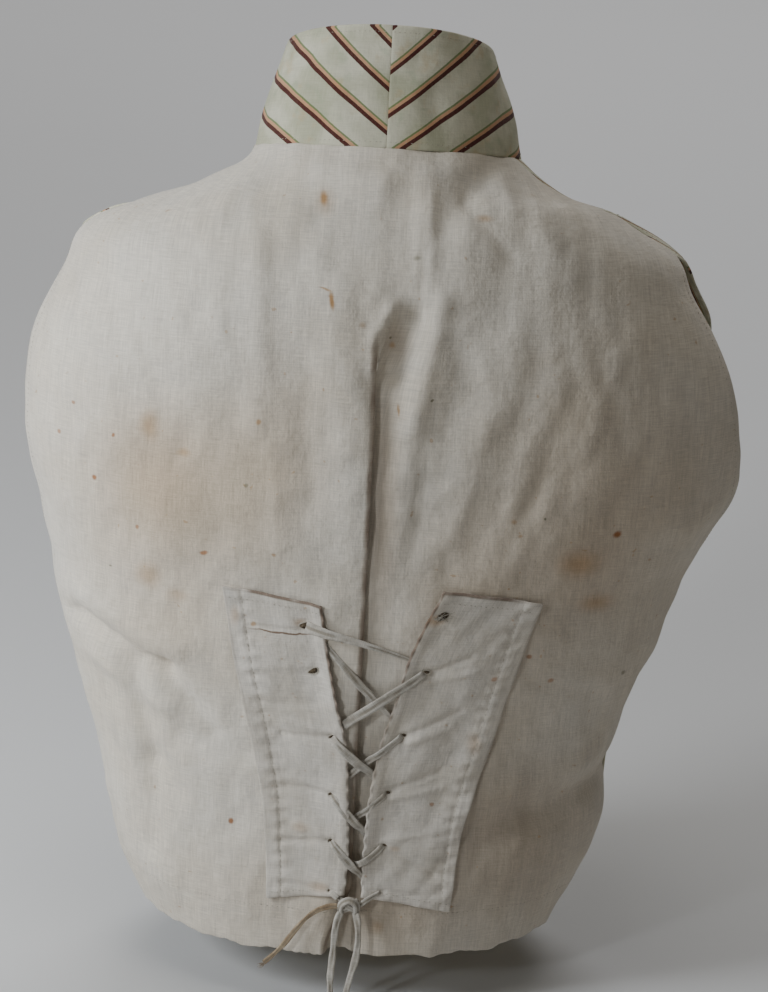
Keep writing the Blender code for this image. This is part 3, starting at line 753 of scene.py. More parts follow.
class Wiring:
    """Short hand for the nodes of one material."""

    def __init__(self, name: str) -> None:
        """Starts a material with a bare shader.

        Args:
            name: The material's name.
        """
        self.material = bpy.data.materials.new(name)
        self.material.use_nodes = True
        self.tree = self.material.node_tree
        self.shader = self.tree.nodes["Principled BSDF"]

    def node(self, kind: str, *inputs: object, **settings: object) -> bpy.types.Node:
        """Adds a node.

        Args:
            kind: The node's type.
            inputs: What goes into its first sockets: an output, a value, or None to leave one as it is.
            settings: The node's own settings.

        Returns:
            The new node.
        """
        made = self.tree.nodes.new(kind)
        for key, value in settings.items():
            setattr(made, key, value)
        for socket, value in zip(made.inputs, inputs):
            self.feed(socket, value)
        return made

    def feed(self, socket: Socket, value: object) -> None:
        """Links an output to a socket, or sets the socket's own value.

        Args:
            socket: The socket.
            value: An output, a value, a colour's three numbers, or None to leave the socket as it is.
        """
        if isinstance(value, Socket):
            self.tree.links.new(value, socket)
        elif value is not None:
            socket.default_value = (*value, 1.0) if socket.type == "RGBA" else value

    def fill(self, node: bpy.types.Node, values: dict[str, object]) -> bpy.types.Node:
        """Feeds sockets of a node by their names.

        Args:
            node: The node.
            values: What goes into each named socket.

        Returns:
            The same node.
        """
        for name, value in values.items():
            self.feed(node.inputs[name], value)
        return node

    def cut(self) -> Socket:
        """Place in the cut, in metres."""
        return self.node("ShaderNodeAttribute", attribute_name="cut").outputs["Vector"]

    def place(self) -> Socket:
        """Place on the waistcoat, in metres in the row frame."""
        return self.node("ShaderNodeTexCoord").outputs["Object"]

    def math(self, operation: str, *inputs: object) -> Socket:
        """One arithmetic step."""
        return self.node("ShaderNodeMath", *inputs, operation=operation).outputs[0]

    def product(self, first: object, *others: object) -> Socket:
        """Multiplies several values.

        Args:
            first: The first value.
            others: The others, at least one.

        Returns:
            Their product.
        """
        for other in others:
            first = self.math("MULTIPLY", first, other)
        return first

    def vector(self, operation: str, *inputs: object) -> Socket:
        """One vector step."""
        made = self.node("ShaderNodeVectorMath", *inputs, operation=operation)
        return made.outputs["Value" if operation == "LENGTH" else "Vector"]

    def noise(self, place: object, scale: float, detail: float = 3.0, rough: float = 0.55) -> Socket:
        """Soft noise between 0 and 1, with scale cells for each unit of the place."""
        return self.node("ShaderNodeTexNoise", place, None, scale, detail, rough).outputs["Fac"]

    def ramp(self, value: object, low: float, high: float, start: float = 0.0, end: float = 1.0) -> Socket:
        """A value turned softly from start, up to low, into end, from high on."""
        made = self.node("ShaderNodeMapRange", value, low, high, start, end, interpolation_type="SMOOTHSTEP")
        return made.outputs[0]

    def blend(self, share: object, first: object, second: object, mode: str = "MIX") -> Socket:
        """Blends two colours, each an output or three numbers.

        Args:
            share: How much of the second shows.
            first: The first colour.
            second: The second colour.
            mode: The way they blend.

        Returns:
            The blended colour.
        """
        # The node's colours come after its numbers and its vectors
        skipped = (None,) * 5
        made = self.node("ShaderNodeMix", share, *skipped, first, second, data_type="RGBA", blend_type=mode)
        return made.outputs[2]

    def toned(self, colour: object, tone: object) -> Socket:
        """A colour made darker or paler by a tone."""
        grey = self.node("ShaderNodeCombineXYZ", tone, tone, tone).outputs[0]
        return self.blend(1.0, colour, grey, "MULTIPLY")

    def bump(self, height: object, distance: float, strength: float, under: object = None) -> Socket:
        """Fine relief, its distance in metres, over a coarser relief's normal or None."""
        values = {"Strength": strength, "Distance": distance, "Height": height, "Normal": under}
        return self.fill(self.node("ShaderNodeBump"), values).outputs["Normal"]

    def finish(self, colour: object, rough: float, normal: object, sheen: float = 0.0) -> Material:
        """Closes the material.

        Args:
            colour: Its colour.
            rough: Its roughness.
            normal: Its relief's normal, or None.
            sheen: How much its fuzz catches the light.

        Returns:
            The material.
        """
        values = {
            "Base Color": colour,
            "Normal": normal,
            "Roughness": rough,
            "Metallic": 0.0,
            "Specular IOR Level": SPECULAR,
            "Sheen Weight": sheen,
            "Sheen Roughness": SHEEN_ROUGHNESS,
        }
        self.fill(self.shader, values)
        return self.material


@dataclass(frozen=True)
class Cloud:
    """Soft patches of another colour, from none where the noise is low to most where it is high."""

    colour: Colour
    scale: float
    detail: float
    low: float
    high: float
    most: float
    rough: float = 0.55

    def over(self, wiring: Wiring, colour: object) -> Socket:
        """Lays the patches over a colour, and gives the new colour."""
        noise = wiring.noise(wiring.place(), self.scale, self.detail, self.rough)
        return wiring.blend(wiring.ramp(noise, self.low, self.high, 0.0, self.most), colour, self.colour)


@dataclass(frozen=True)
class Weave:
    """Plain weave, seen as uneven threads along and across the cut."""

    thread: float = 0.5
    slub: float = 11.0
    contrast: float = 0.08
    relief: float = 0.00018
    streak: float = 0.05

    def threads(self, wiring: Wiring) -> Socket:
        """Wires the threads that run both ways.

        Args:
            wiring: The material's nodes.

        Returns:
            Their tone, from 0 to 1.
        """
        cut = wiring.cut()
        fine, long = 1000 / self.thread, 1000 / self.slub
        warp = wiring.noise(wiring.vector("MULTIPLY", cut, (fine, long, 0.0)), 1.0, 2.0)
        weft = wiring.noise(wiring.vector("MULTIPLY", cut, (long, fine, 0.0)), 1.0, 2.0)
        return wiring.product(wiring.math("ADD", warp, weft), 0.5)

    def streaks(self, wiring: Wiring) -> Socket:
        """The tone of long uneven threads, near 1."""
        long = wiring.vector("MULTIPLY", wiring.cut(), (480.0, 24.0, 0.0))
        return wiring.ramp(wiring.noise(long, 1.0, 4.0, 0.6), 0.3, 0.7, 1 - self.streak, 1 + self.streak)


@dataclass(frozen=True)
class Mark:
    """A stain, an aged patch or a patch of painted shade on the back: middle x and height, half width, half
    height, strength, tilt.
    """

    x: float
    height: float
    half_width: float
    half_height: float
    strength: float
    tilt: float = 0.0
    colour: Colour = (0.30, 0.16, 0.07)
    edge: float = 0.5

    def share(self, wiring: Wiring, place: Socket) -> Socket:
        """How much of the mark shows at each place.

        Args:
            wiring: The material's nodes.
            place: The place on the waistcoat, already made uneven.

        Returns:
            The share, from 0 to the mark's strength.
        """
        middle = (self.x * MM, 0.0, (self.height - ORIGIN_HEIGHT) * MM)
        moved = wiring.vector("SUBTRACT", place, middle)
        turned = wiring.node("ShaderNodeVectorRotate", moved, rotation_type="Y_AXIS")
        turned.inputs["Angle"].default_value = math.radians(self.tilt)
        size = (1 / (self.half_width * MM), 0.0, 1 / (self.half_height * MM))
        distance = wiring.vector("LENGTH", wiring.vector("MULTIPLY", turned.outputs[0], size))
        return wiring.ramp(distance, self.edge, 1.0, self.strength, 0.0)


AGED = (0.50, 0.385, 0.26)
OCHRE = (0.40, 0.22, 0.08)
RUST = (0.33, 0.135, 0.045)
OLIVE = (0.22, 0.20, 0.13)
# Colour of soil, also used for painted shade: the panel's cut slit, under the turned edges and in the
# pleat's gap
SOIL_AND_SHADE = (0.13, 0.07, 0.035)
# Colour of painted shade on the back
PAINTED_SHADE = (0.33, 0.255, 0.18)
# Soft aged patches and painted shade over the right side, beside the middle pleat and near the hem, then
# stains and specks
BACK_MARKS = (
    Mark(-104, 258, 84, 92, 0.66, 0, AGED, 0.0),
    Mark(-48, 290, 50, 90, 0.44, 0, AGED, 0.0),
    Mark(-112, 280, 46, 52, 0.22, 0, OCHRE, 0.0),
    Mark(122, 232, 40, 40, 0.14, 0, OCHRE, 0.0),
    Mark(-96, 186, 60, 44, 0.2, 0, AGED, 0.0),
    Mark(118, 270, 92, 130, 0.42, 0, AGED, 0.0),
    Mark(62, 210, 62, 110, 0.4, 0, AGED, 0.0),
    Mark(-10, 36, 110, 50, 0.3, 0, AGED, 0.0),
    # Painted shade: the right side, the lower right, beside the middle pleat, in its top hollow and near the
    # hem
    Mark(112, 200, 60, 90, 0.12, 0, PAINTED_SHADE, 0.0),
    Mark(84, 70, 74, 90, 0.56, 0, PAINTED_SHADE, 0.0),
    Mark(11, 262, 13, 104, 0.6, 0, PAINTED_SHADE, 0.1),
    Mark(12, 356, 12, 16, 0.42, 0, PAINTED_SHADE, 0.1),
    Mark(26, 30, 48, 40, 0.44, 0, PAINTED_SHADE, 0.1),
    Mark(-29.1, 424.6, 3.2, 4.8, 0.85, 8, OCHRE, 0.2),
    Mark(-28, 423, 8.0, 9.0, 0.3, 0, OCHRE, 0.1),
    Mark(-22, 377.8, 1.7, 6.6, 0.9, 10, OCHRE, 0.3),
    Mark(-25.5, 383.5, 4.6, 1.0, 0.7, -14, OCHRE, 0.3),
    Mark(-5.3, 366, 2.8, 2.4, 0.4, 0, OCHRE, 0.1),
    Mark(10.3, 354.6, 2.4, 3.0, 0.55, 0, OCHRE, 0.1),
    Mark(15.3, 322.1, 1.0, 5.0, 0.7, 4, OCHRE, 0.2),
    Mark(9.1, 358.8, 0.9, 0.9, 0.9, 0, OLIVE, 0.4),
    Mark(32.2, 328.1, 0.9, 0.9, 0.9, 0, OLIVE, 0.4),
    Mark(21, 400.5, 2.6, 2.0, 0.6, 0, OLIVE, 0.2),
    Mark(54.7, 418.5, 7.5, 2.2, 0.5, 4, OCHRE, 0.1),
    Mark(-114.9, 302.6, 8, 12, 0.5, 6, OCHRE, 0.05),
    Mark(-95.9, 290, 5.5, 3.5, 0.45, 0, OCHRE, 0.05),
    Mark(-113.4, 216, 11, 12, 0.42, 0, OCHRE, 0.05),
    Mark(-97.7, 206.5, 9, 6, 0.3, 0, OCHRE, 0.05),
    Mark(115.6, 237.5, 17, 13, 0.55, 0, OCHRE, 0.05),
    Mark(126.8, 211.5, 14, 9, 0.5, 0, OCHRE, 0.05),
    Mark(18.5, 18, 6, 6, 0.3, 0, OCHRE, 0.05),
    Mark(-144.2, 267.6, 1.9, 2.1, 0.9, 0, RUST, 0.35),
    Mark(-164.8, 288.1, 1.6, 1.7, 0.7, 0, RUST, 0.35),
    Mark(-134.3, 294.2, 1.3, 1.4, 0.8, 0, RUST, 0.35),
    Mark(-156.6, 307.2, 1.5, 1.5, 0.7, 0, RUST, 0.35),
    Mark(-57.5, 311.4, 2.0, 2.2, 0.7, 0, OCHRE, 0.3),
    Mark(-120.2, 243.5, 1.5, 1.7, 0.7, 0, RUST, 0.35),
    Mark(-83.9, 234, 2.5, 2.0, 0.8, 0, RUST, 0.35),
    Mark(-62.3, 275.8, 1.3, 1.6, 0.8, 0, OLIVE, 0.35),
    Mark(-46.6, 237, 1.9, 1.7, 0.6, 0, OCHRE, 0.3),
    Mark(-134.5, 216.5, 1.0, 1.0, 0.8, 0, OLIVE, 0.35),
    Mark(-64.4, 73.5, 2.2, 2.5, 0.9, 0, RUST, 0.35),
    Mark(135, 253.9, 2.8, 2.6, 0.95, 0, RUST, 0.35),
    Mark(96.1, 265.1, 1.1, 1.0, 0.9, 0, OLIVE, 0.35),
    Mark(79.5, 262.5, 2.5, 2.2, 0.5, 0, OCHRE, 0.2),
    Mark(83.6, 254.9, 1.8, 1.5, 0.5, 0, OCHRE, 0.2),
    Mark(92.7, 181.5, 2.3, 2.0, 0.7, 0, RUST, 0.3),
    Mark(105.5, 165.5, 2.3, 1.8, 0.6, 0, RUST, 0.3),
    Mark(146.2, 162.5, 2.0, 2.2, 0.8, 0, OLIVE, 0.3),
)
# Painted shade of the cut slit, then the spots of the laced panels
PANEL_MARKS = (
    Mark(-41, 192.3, 21, 0.75, 0.85, -1, SOIL_AND_SHADE, 0.5),
    Mark(-55.9, 195.5, 2.0, 2.0, 0.7, 0, OCHRE, 0.3),
    Mark(-66, 200, 4, 9, 0.35, 0, OCHRE, 0.1),
    Mark(-31, 199, 5, 4, 0.4, 0, OCHRE, 0.1),
    Mark(41, 204.6, 8, 5, 0.5, 0, OCHRE, 0.1),
    Mark(74.5, 169, 2.4, 1.8, 0.6, 0, RUST, 0.3),
    Mark(66, 130, 6, 10, 0.3, 12, OCHRE, 0.1),
    Mark(45.3, 93, 2.0, 1.6, 0.6, 0, RUST, 0.3),
    Mark(-26, 76, 8, 5, 0.3, 0, OCHRE, 0.1),
    Mark(-14, 42, 9, 5, 0.35, 0, OCHRE, 0.1),
    Mark(26, 66, 5, 3, 0.35, 0, OCHRE, 0.1),
)


@dataclass(frozen=True)
class PlainCotton:
    """Unbleached plain-weave cotton, creased and unevenly aged, with painted shade in some of its marks and
    in its soiled edges and fold.
    """

    name: str
    colour: Colour = (0.665, 0.615, 0.53)
    shaded: Colour = (0.56, 0.49, 0.385)
    marks: tuple[Mark, ...] = ()
    mottle: float = 13.0
    edge_soil_and_shade: float = 0.0
    fold_soil_and_shade: float = 0.0
    greyed: Colour = (0.50, 0.48, 0.44)
    mark_shift: float = 0.004
    roughness: float = 0.92
    weave: Weave = field(default_factory=Weave)

    def make(self) -> Material:
        """Wires the cotton's colour, its marks and its relief.

        Returns:
            The material.
        """
        wiring = Wiring(self.name)
        place = wiring.place()
        colour = Cloud(self.shaded, self.mottle, 4.0, 0.36, 0.68, 0.55).over(wiring, self.colour)
        colour = Cloud(self.greyed, 3 * self.mottle, 5.0, 0.4, 0.75, 0.3, 0.65).over(wiring, colour)
        uneven = wiring.noise(place, 90.0, 3.0)
        spread = wiring.node("ShaderNodeCombineXYZ", uneven, 0.0, uneven).outputs[0]
        shift = wiring.vector("MULTIPLY", spread, (self.mark_shift, 0.0, self.mark_shift))
        marked = wiring.vector("ADD", place, shift)
        for mark in self.marks:
            colour = wiring.blend(mark.share(wiring, marked), colour, mark.colour)
        colour = Cloud(OCHRE, 240.0, 1.0, 0.735, 0.80, 0.45).over(wiring, colour)
        colour = self.soiled(wiring, colour)
        threads = self.weave.threads(wiring)
        low, high = 1 - 2.2 * self.weave.contrast, 1 + 1.4 * self.weave.contrast
        tone = wiring.ramp(threads, 0.3, 0.7, low, high)
        colour = wiring.toned(colour, wiring.product(tone, self.weave.streaks(wiring)))
        coarse = wiring.bump(wiring.noise(place, 55.0, 5.0, 0.6), 0.0035, 0.5)
        fine = wiring.bump(threads, self.weave.relief, 0.8, coarse)
        return wiring.finish(colour, self.roughness, fine, 0.12)

    def soiled(self, wiring: Wiring, colour: Socket) -> Socket:
        """Browns the turned edges and the fold of the middle pleat, unevenly, with soil and painted shade
        together.

        Args:
            wiring: The material's nodes.
            colour: The cotton's colour so far.

        Returns:
            The soiled colour.
        """
        across, up, from_edge = wiring.node("ShaderNodeSeparateXYZ", wiring.cut()).outputs
        if self.edge_soil_and_shade:
            # Soil mixed with painted shade under the turned edges, more of it higher up the panel
            near = wiring.ramp(from_edge, 0.0004, 0.0015, 1.0, 0.0)
            higher = wiring.ramp(up, 0.045, 0.200, 0.16, 1.0)
            inner = wiring.ramp(across, 0.036, 0.042, 1.0, 0.3)
            uneven = wiring.ramp(wiring.noise(wiring.place(), 70.0, 3.0), 0.3, 0.55, 0.35, 1.0)
            share = wiring.product(near, higher, inner, uneven, self.edge_soil_and_shade)
            colour = wiring.blend(share, colour, SOIL_AND_SHADE)
        if self.fold_soil_and_shade:
            # Soil mixed with painted shade in the gap under the pleat's fold, below the pleat's top
            away = wiring.math("ABSOLUTE", wiring.math("ADD", across, 0.0014))
            near = wiring.ramp(away, 0.0014, 0.0034, 1.0, 0.0)
            below = wiring.ramp(up, 0.335, 0.350, 1.0, 0.0)
            uneven = wiring.ramp(wiring.noise(wiring.place(), 60.0, 3.0), 0.32, 0.58, 0.45, 1.0)
            share = wiring.product(near, below, uneven, self.fold_soil_and_shade)
            colour = wiring.blend(share, colour, SOIL_AND_SHADE)
        return colour


@dataclass(frozen=True)
class StripedCotton:
    """Cream cotton with printed stripes of green, tan and dark red-brown, side by side."""

    name: str
    lay: StripeLay
    ground: Colour = (0.62, 0.60, 0.47)
    dull: Colour = (0.43, 0.43, 0.30)
    dark: Colour = (0.070, 0.010, 0.007)
    tan: Colour = (0.56, 0.25, 0.115)
    green: Colour = (0.115, 0.17, 0.04)
    yellowed: Colour = (0.52, 0.40, 0.22)
    greened: Colour = (0.34, 0.40, 0.27)
    rise: float = 0.84
    step: float = 23.0
    dark_width: float = 2.7
    tan_width: float = 1.9
    green_width: float = 1.2
    left_start: float = 5.7
    right_start: float = 14.7
    soft: float = 0.16
    weave: Weave = field(default_factory=Weave)

    def stripe_place(self, wiring: Wiring) -> Socket:
        """Wires the place across the stripes.

        Args:
            wiring: The material's nodes.

        Returns:
            The place in millimetres, from the lower edge of the nearest stripe below.
        """
        parts = wiring.node("ShaderNodeSeparateXYZ", wiring.cut())
        across, up = (wiring.product(parts.outputs[axis], 1 / MM) for axis in range(2))
        if self.lay is StripeLay.LENGTHWISE:
            return wiring.math("FLOORED_MODULO", across, self.step * math.cos(math.atan(self.rise)))
        slope = wiring.product(wiring.math("ABSOLUTE", across), self.rise)
        is_right = wiring.math("GREATER_THAN", across, 0.0)
        begin = wiring.math("MULTIPLY_ADD", is_right, self.right_start - self.left_start, self.left_start)
        height = wiring.math("SUBTRACT", wiring.math("SUBTRACT", up, slope), begin)
        return wiring.math("FLOORED_MODULO", height, self.step)

    def band(self, wiring: Wiring, place: Socket, low: float, high: float) -> Socket:
        """Share of one printed band.

        Args:
            wiring: The material's nodes.
            place: Place across the stripes.
            low: The band's lower edge.
            high: The band's upper edge.

        Returns:
            The share, with soft edges.
        """
        rises = wiring.ramp(place, low - self.soft, low + self.soft)
        falls = wiring.ramp(place, high - self.soft, high + self.soft, 1.0, 0.0)
        return wiring.product(rises, falls)

    def make(self) -> Material:
        """Wires the ground, the bands and the relief.

        Returns:
            The material.
        """
        wiring = Wiring(self.name)
        scale = 1.0 if self.lay is StripeLay.BIAS else math.cos(math.atan(self.rise))
        wobble = wiring.ramp(wiring.noise(wiring.cut(), 420.0, 2.0), 0.3, 0.7, -0.05, 0.05)
        place = wiring.math("ADD", self.stripe_place(wiring), wobble)
        colour = Cloud(self.dull, 34.0, 5.0, 0.38, 0.66, 0.9).over(wiring, self.ground)
        colour = Cloud(self.yellowed, 90.0, 3.0, 0.55, 0.72, 0.45).over(wiring, colour)
        colour = Cloud(self.greened, 130.0, 2.0, 0.56, 0.7, 0.3).over(wiring, colour)
        edges = [0.5]
        for width in (self.dark_width, self.tan_width, self.green_width):
            edges.append(edges[-1] + width * scale)
        shade = wiring.noise(wiring.cut(), 900.0, 2.0)
        bands = ((self.dark, 0.99), (self.tan, 0.8), (self.green, 0.85))
        for start, end, (tint, strength) in zip(edges, edges[1:], bands):
            share = self.band(wiring, place, start, end)
            worn = wiring.ramp(shade, 0.35, 0.8, strength, 0.95 * strength)
            colour = wiring.blend(wiring.product(share, worn), colour, tint)
        threads = self.weave.threads(wiring)
        colour = wiring.toned(colour, wiring.ramp(threads, 0.3, 0.7, 0.9, 1.07))
        coarse = wiring.bump(wiring.noise(wiring.place(), 80.0, 4.0, 0.6), 0.002, 0.4)
        fine = wiring.bump(threads, 0.00012, 0.6, coarse)
        return wiring.finish(colour, 0.8, fine, 0.1)


@dataclass(frozen=True)
class LaceTape:
    """Narrow woven cotton tape, ribbed along its length and soiled, with painted shade down its middle."""

    name: str
    colour: Colour = (0.57, 0.54, 0.48)
    soiled: Colour = (0.33, 0.28, 0.215)
    soil: float = 0.55
    slit_shade: Colour = (0.24, 0.205, 0.15)
    middle: float = STRAND_TURN * math.pi / 2

    def make(self) -> Material:
        """Wires the tape's colour, the painted shade down its middle and its ribs.

        Returns:
            The material.
        """
        wiring = Wiring(self.name)
        cut = wiring.cut()
        parts = wiring.node("ShaderNodeSeparateXYZ", cut)
        colour = Cloud(self.soiled, 130.0, 4.0, 0.35, 0.7, self.soil).over(wiring, self.colour)
        ribs = wiring.noise(wiring.vector("MULTIPLY", cut, (5200.0, 220.0, 1.0)), 1.0, 2.0)
        picks = wiring.noise(wiring.vector("MULTIPLY", cut, (300.0, 2600.0, 1.0)), 1.0, 1.0)
        both = wiring.product(wiring.math("ADD", ribs, picks), 0.5)
        # Painted shade down the middle of the tape, where its two halves part
        from_middle = wiring.math("ABSOLUTE", wiring.math("SUBTRACT", parts.outputs[0], self.middle * MM))
        slit_shade = wiring.ramp(from_middle, 0.00003, 0.00013, 1.0, 0.0)
        open_here = wiring.ramp(wiring.noise(wiring.place(), 75.0, 2.0), 0.4, 0.58, 0.1, 0.7)
        colour = wiring.blend(wiring.product(slit_shade, open_here), colour, self.slit_shade)
        colour = wiring.toned(colour, wiring.ramp(both, 0.32, 0.68, 0.72, 1.1))
        return wiring.finish(colour, 0.9, wiring.bump(both, 0.0003, 0.8), 0.15)


@dataclass(frozen=True)
class SewingThread:
    """Twisted sewing thread."""

    name: str
    colour: Colour = (0.50, 0.46, 0.385)

    def make(self) -> Material:
        """Wires the thread's tone and its twist.

        Returns:
            The material.
        """
        wiring = Wiring(self.name)
        darker = tuple(0.62 * part for part in self.colour)
        colour = Cloud(darker, 220.0, 3.0, 0.3, 0.7, 0.6).over(wiring, self.colour)
        twist = wiring.noise(wiring.place(), 2600.0, 1.0)
        return wiring.finish(colour, 0.8, wiring.bump(twist, 0.0001, 0.5), 0.1)


@dataclass(frozen=True)
class EyeletShade:
    """The dark inside of an eyelet, where soiled cloth lies in shade."""

    name: str
    colour: Colour = (0.060, 0.044, 0.028)
    paler: Colour = (0.17, 0.13, 0.085)

    def make(self) -> Material:
        """Wires an uneven dark cloth.

        Returns:
            The material.
        """
        wiring = Wiring(self.name)
        uneven = wiring.ramp(wiring.noise(wiring.place(), 900.0, 2.0), 0.35, 0.7)
        colour = wiring.blend(uneven, self.colour, self.paler)
        return wiring.finish(colour, 0.95, wiring.bump(uneven, 0.0002, 0.5))


@dataclass(frozen=True)
class StudioFloor:
    """Plain pale floor with a barely uneven tone."""

    name: str
    colour: Colour = (0.62, 0.62, 0.62)

    def make(self) -> Material:
        """Wires the floor's tone.

        Returns:
            The material.
        """
        wiring = Wiring(self.name)
        uneven = wiring.noise(wiring.place(), 1.5, 3.0)
        paler = tuple(1.04 * part for part in self.colour)
        colour = wiring.blend(uneven, self.colour, paler)
        return wiring.finish(colour, 0.9, wiring.bump(wiring.noise(wiring.place(), 300.0), 0.0002, 0.1))


@dataclass(frozen=True)
class PhotoView:
    """The camera, where the photograph was taken from."""

    middle_x: float = 0.0083
    position_y: float = -2.0923
    position_z: float = 0.4848
    look_at_z: float = -0.195
    roll: float = 3.0
    lens: float = 143.7
    sensor: float = 36.0
    clip_end: float = 60.0

    def place(self) -> None:
        """Makes the camera and looks through it."""
        data = bpy.data.cameras.new("photo_view")
        data.lens = self.lens
        data.sensor_width = self.sensor
        data.sensor_fit = "AUTO"
        data.clip_end = self.clip_end
        camera = add_object("photo_view", data)
        camera.location = (self.middle_x, self.position_y, self.position_z)
        ahead = Vector((self.middle_x, 0.0, self.look_at_z)) - camera.location
        level = ahead.to_track_quat("-Z", "Y")
        camera.rotation_mode = "QUATERNION"
        camera.rotation_quaternion = level @ Quaternion((0.0, 0.0, 1.0), math.radians(self.roll))
        bpy.context.scene.camera = camera


@dataclass(frozen=True)
class Lamp:
    """One soft lamp: where it stands, its size, its power and its tint."""

    name: str
    position: tuple[float, float, float]
    size: float
    power: float
    tint: Colour = (1.0, 1.0, 1.0)
    aim: tuple[float, float, float] = (0.0, 0.0, -0.2)
    beam: float | None = None

    def place(self) -> None:
        """Makes the lamp and turns it to the waistcoat."""
        data = bpy.data.lights.new(self.name, "AREA" if self.beam is None else "SPOT")
        if self.beam is None:
            data.shape = "DISK"
            data.size = self.size
        else:
            data.shadow_soft_size = self.size / 2
            data.spot_size = math.radians(self.beam)
            data.spot_blend = 1.0
        data.energy = self.power
        data.color = self.tint
        made = add_object(self.name, data)
        made.location = self.position
        made.rotation_mode = "QUATERNION"
        made.rotation_quaternion = (Vector(self.aim) - Vector(self.position)).to_track_quat("-Z", "Y")


@dataclass(frozen=True)
class Studio:
    """Pale floor, pale surroundings and soft lamps."""

    floor_height: float
    floor_half: float = 12.0
    surround: Colour = (1.0, 0.93, 0.83)
    surround_strength: float = 0.095
    lamps: tuple[Lamp, ...] = (
        Lamp("window_lamp", (-1.25, -0.58, 0.42), 0.5, 15.6, (0.91, 0.955, 1.0)),
        Lamp("side_lamp", (-0.95, -1.25, 0.30), 0.3, 82.0, (0.91, 0.955, 1.0), (-0.355, 0.0, -0.20), 34.0),
        Lamp("top_lamp", (0.0, -0.35, 1.7), 0.9, 6.6, (0.98, 0.98, 0.96), (0.0, 0.0, 0.0)),
        Lamp("fill_lamp", (1.9, -2.0, 0.9), 1.6, 1.2, (1.0, 0.88, 0.70)),
        Lamp("floor_lamp", (0.3, 3.0, 2.3), 2.4, 60.0, (0.97, 0.98, 1.0), (0.0, 1.9, -0.46)),
    )

    def build(self) -> None:
        """Lays the floor and sets the light."""
        world = bpy.data.worlds.new("surround")
        world.use_nodes = True
        backdrop = world.node_tree.nodes["Background"]
        backdrop.inputs["Color"].default_value = (*self.surround, 1.0)
        backdrop.inputs["Strength"].default_value = self.surround_strength
        bpy.context.scene.world = world
        half = self.floor_half
        corners = [(-half, -half), (half, -half), (half, half), (-half, half)]
        mesh = bpy.data.meshes.new("studio_floor")
        mesh.from_pydata([(x, y, self.floor_height) for x, y in corners], [], [(0, 1, 2, 3)])
        mesh.materials.append(StudioFloor("pale_floor").make())
        add_object("studio_floor", mesh)
        for lamp in self.lamps:
            lamp.place()


@dataclass
class StitchRow:
    """A row of small stitches, each a short thread that dips at its ends."""

    places: Points
    normals: Points
    length: float = 2.1
    pitch: float = 3.4
    thread: float = 0.42
    sag: float = 0.28
    uneven: float = 0.18
    seed: int = 3

    def add_to(self, parts: MeshParts) -> None:
        """Adds the stitches along the row's line to a mesh.

        Args:
            parts: The mesh that takes them.
        """
        draws = np.random.default_rng(self.seed)
        lengths = chord_lengths(self.places)
        shares = np.linspace(-0.5, 0.5, 5)
        for middle in np.arange(self.pitch / 2, lengths[-1] - self.pitch / 2, self.pitch):
            start = middle + draws.uniform(-1, 1) * self.uneven * self.pitch
            stitch = self.length * (1 + draws.uniform(-1, 1) * self.uneven)
            along = start + shares * stitch
            centres = along_line(self.places, lengths, along)
            normals = unit(along_line(self.normals, lengths, along))
            arch = self.thread * 0.5 - self.sag * (2 * shares) ** 2
            centres = centres + normals * arch[:, None]
            widths = self.thread * (1 - 0.5 * (2 * shares) ** 4)
            Strand(centres, normals, widths, widths, sides=6, squareness=1.0).add_to(parts)


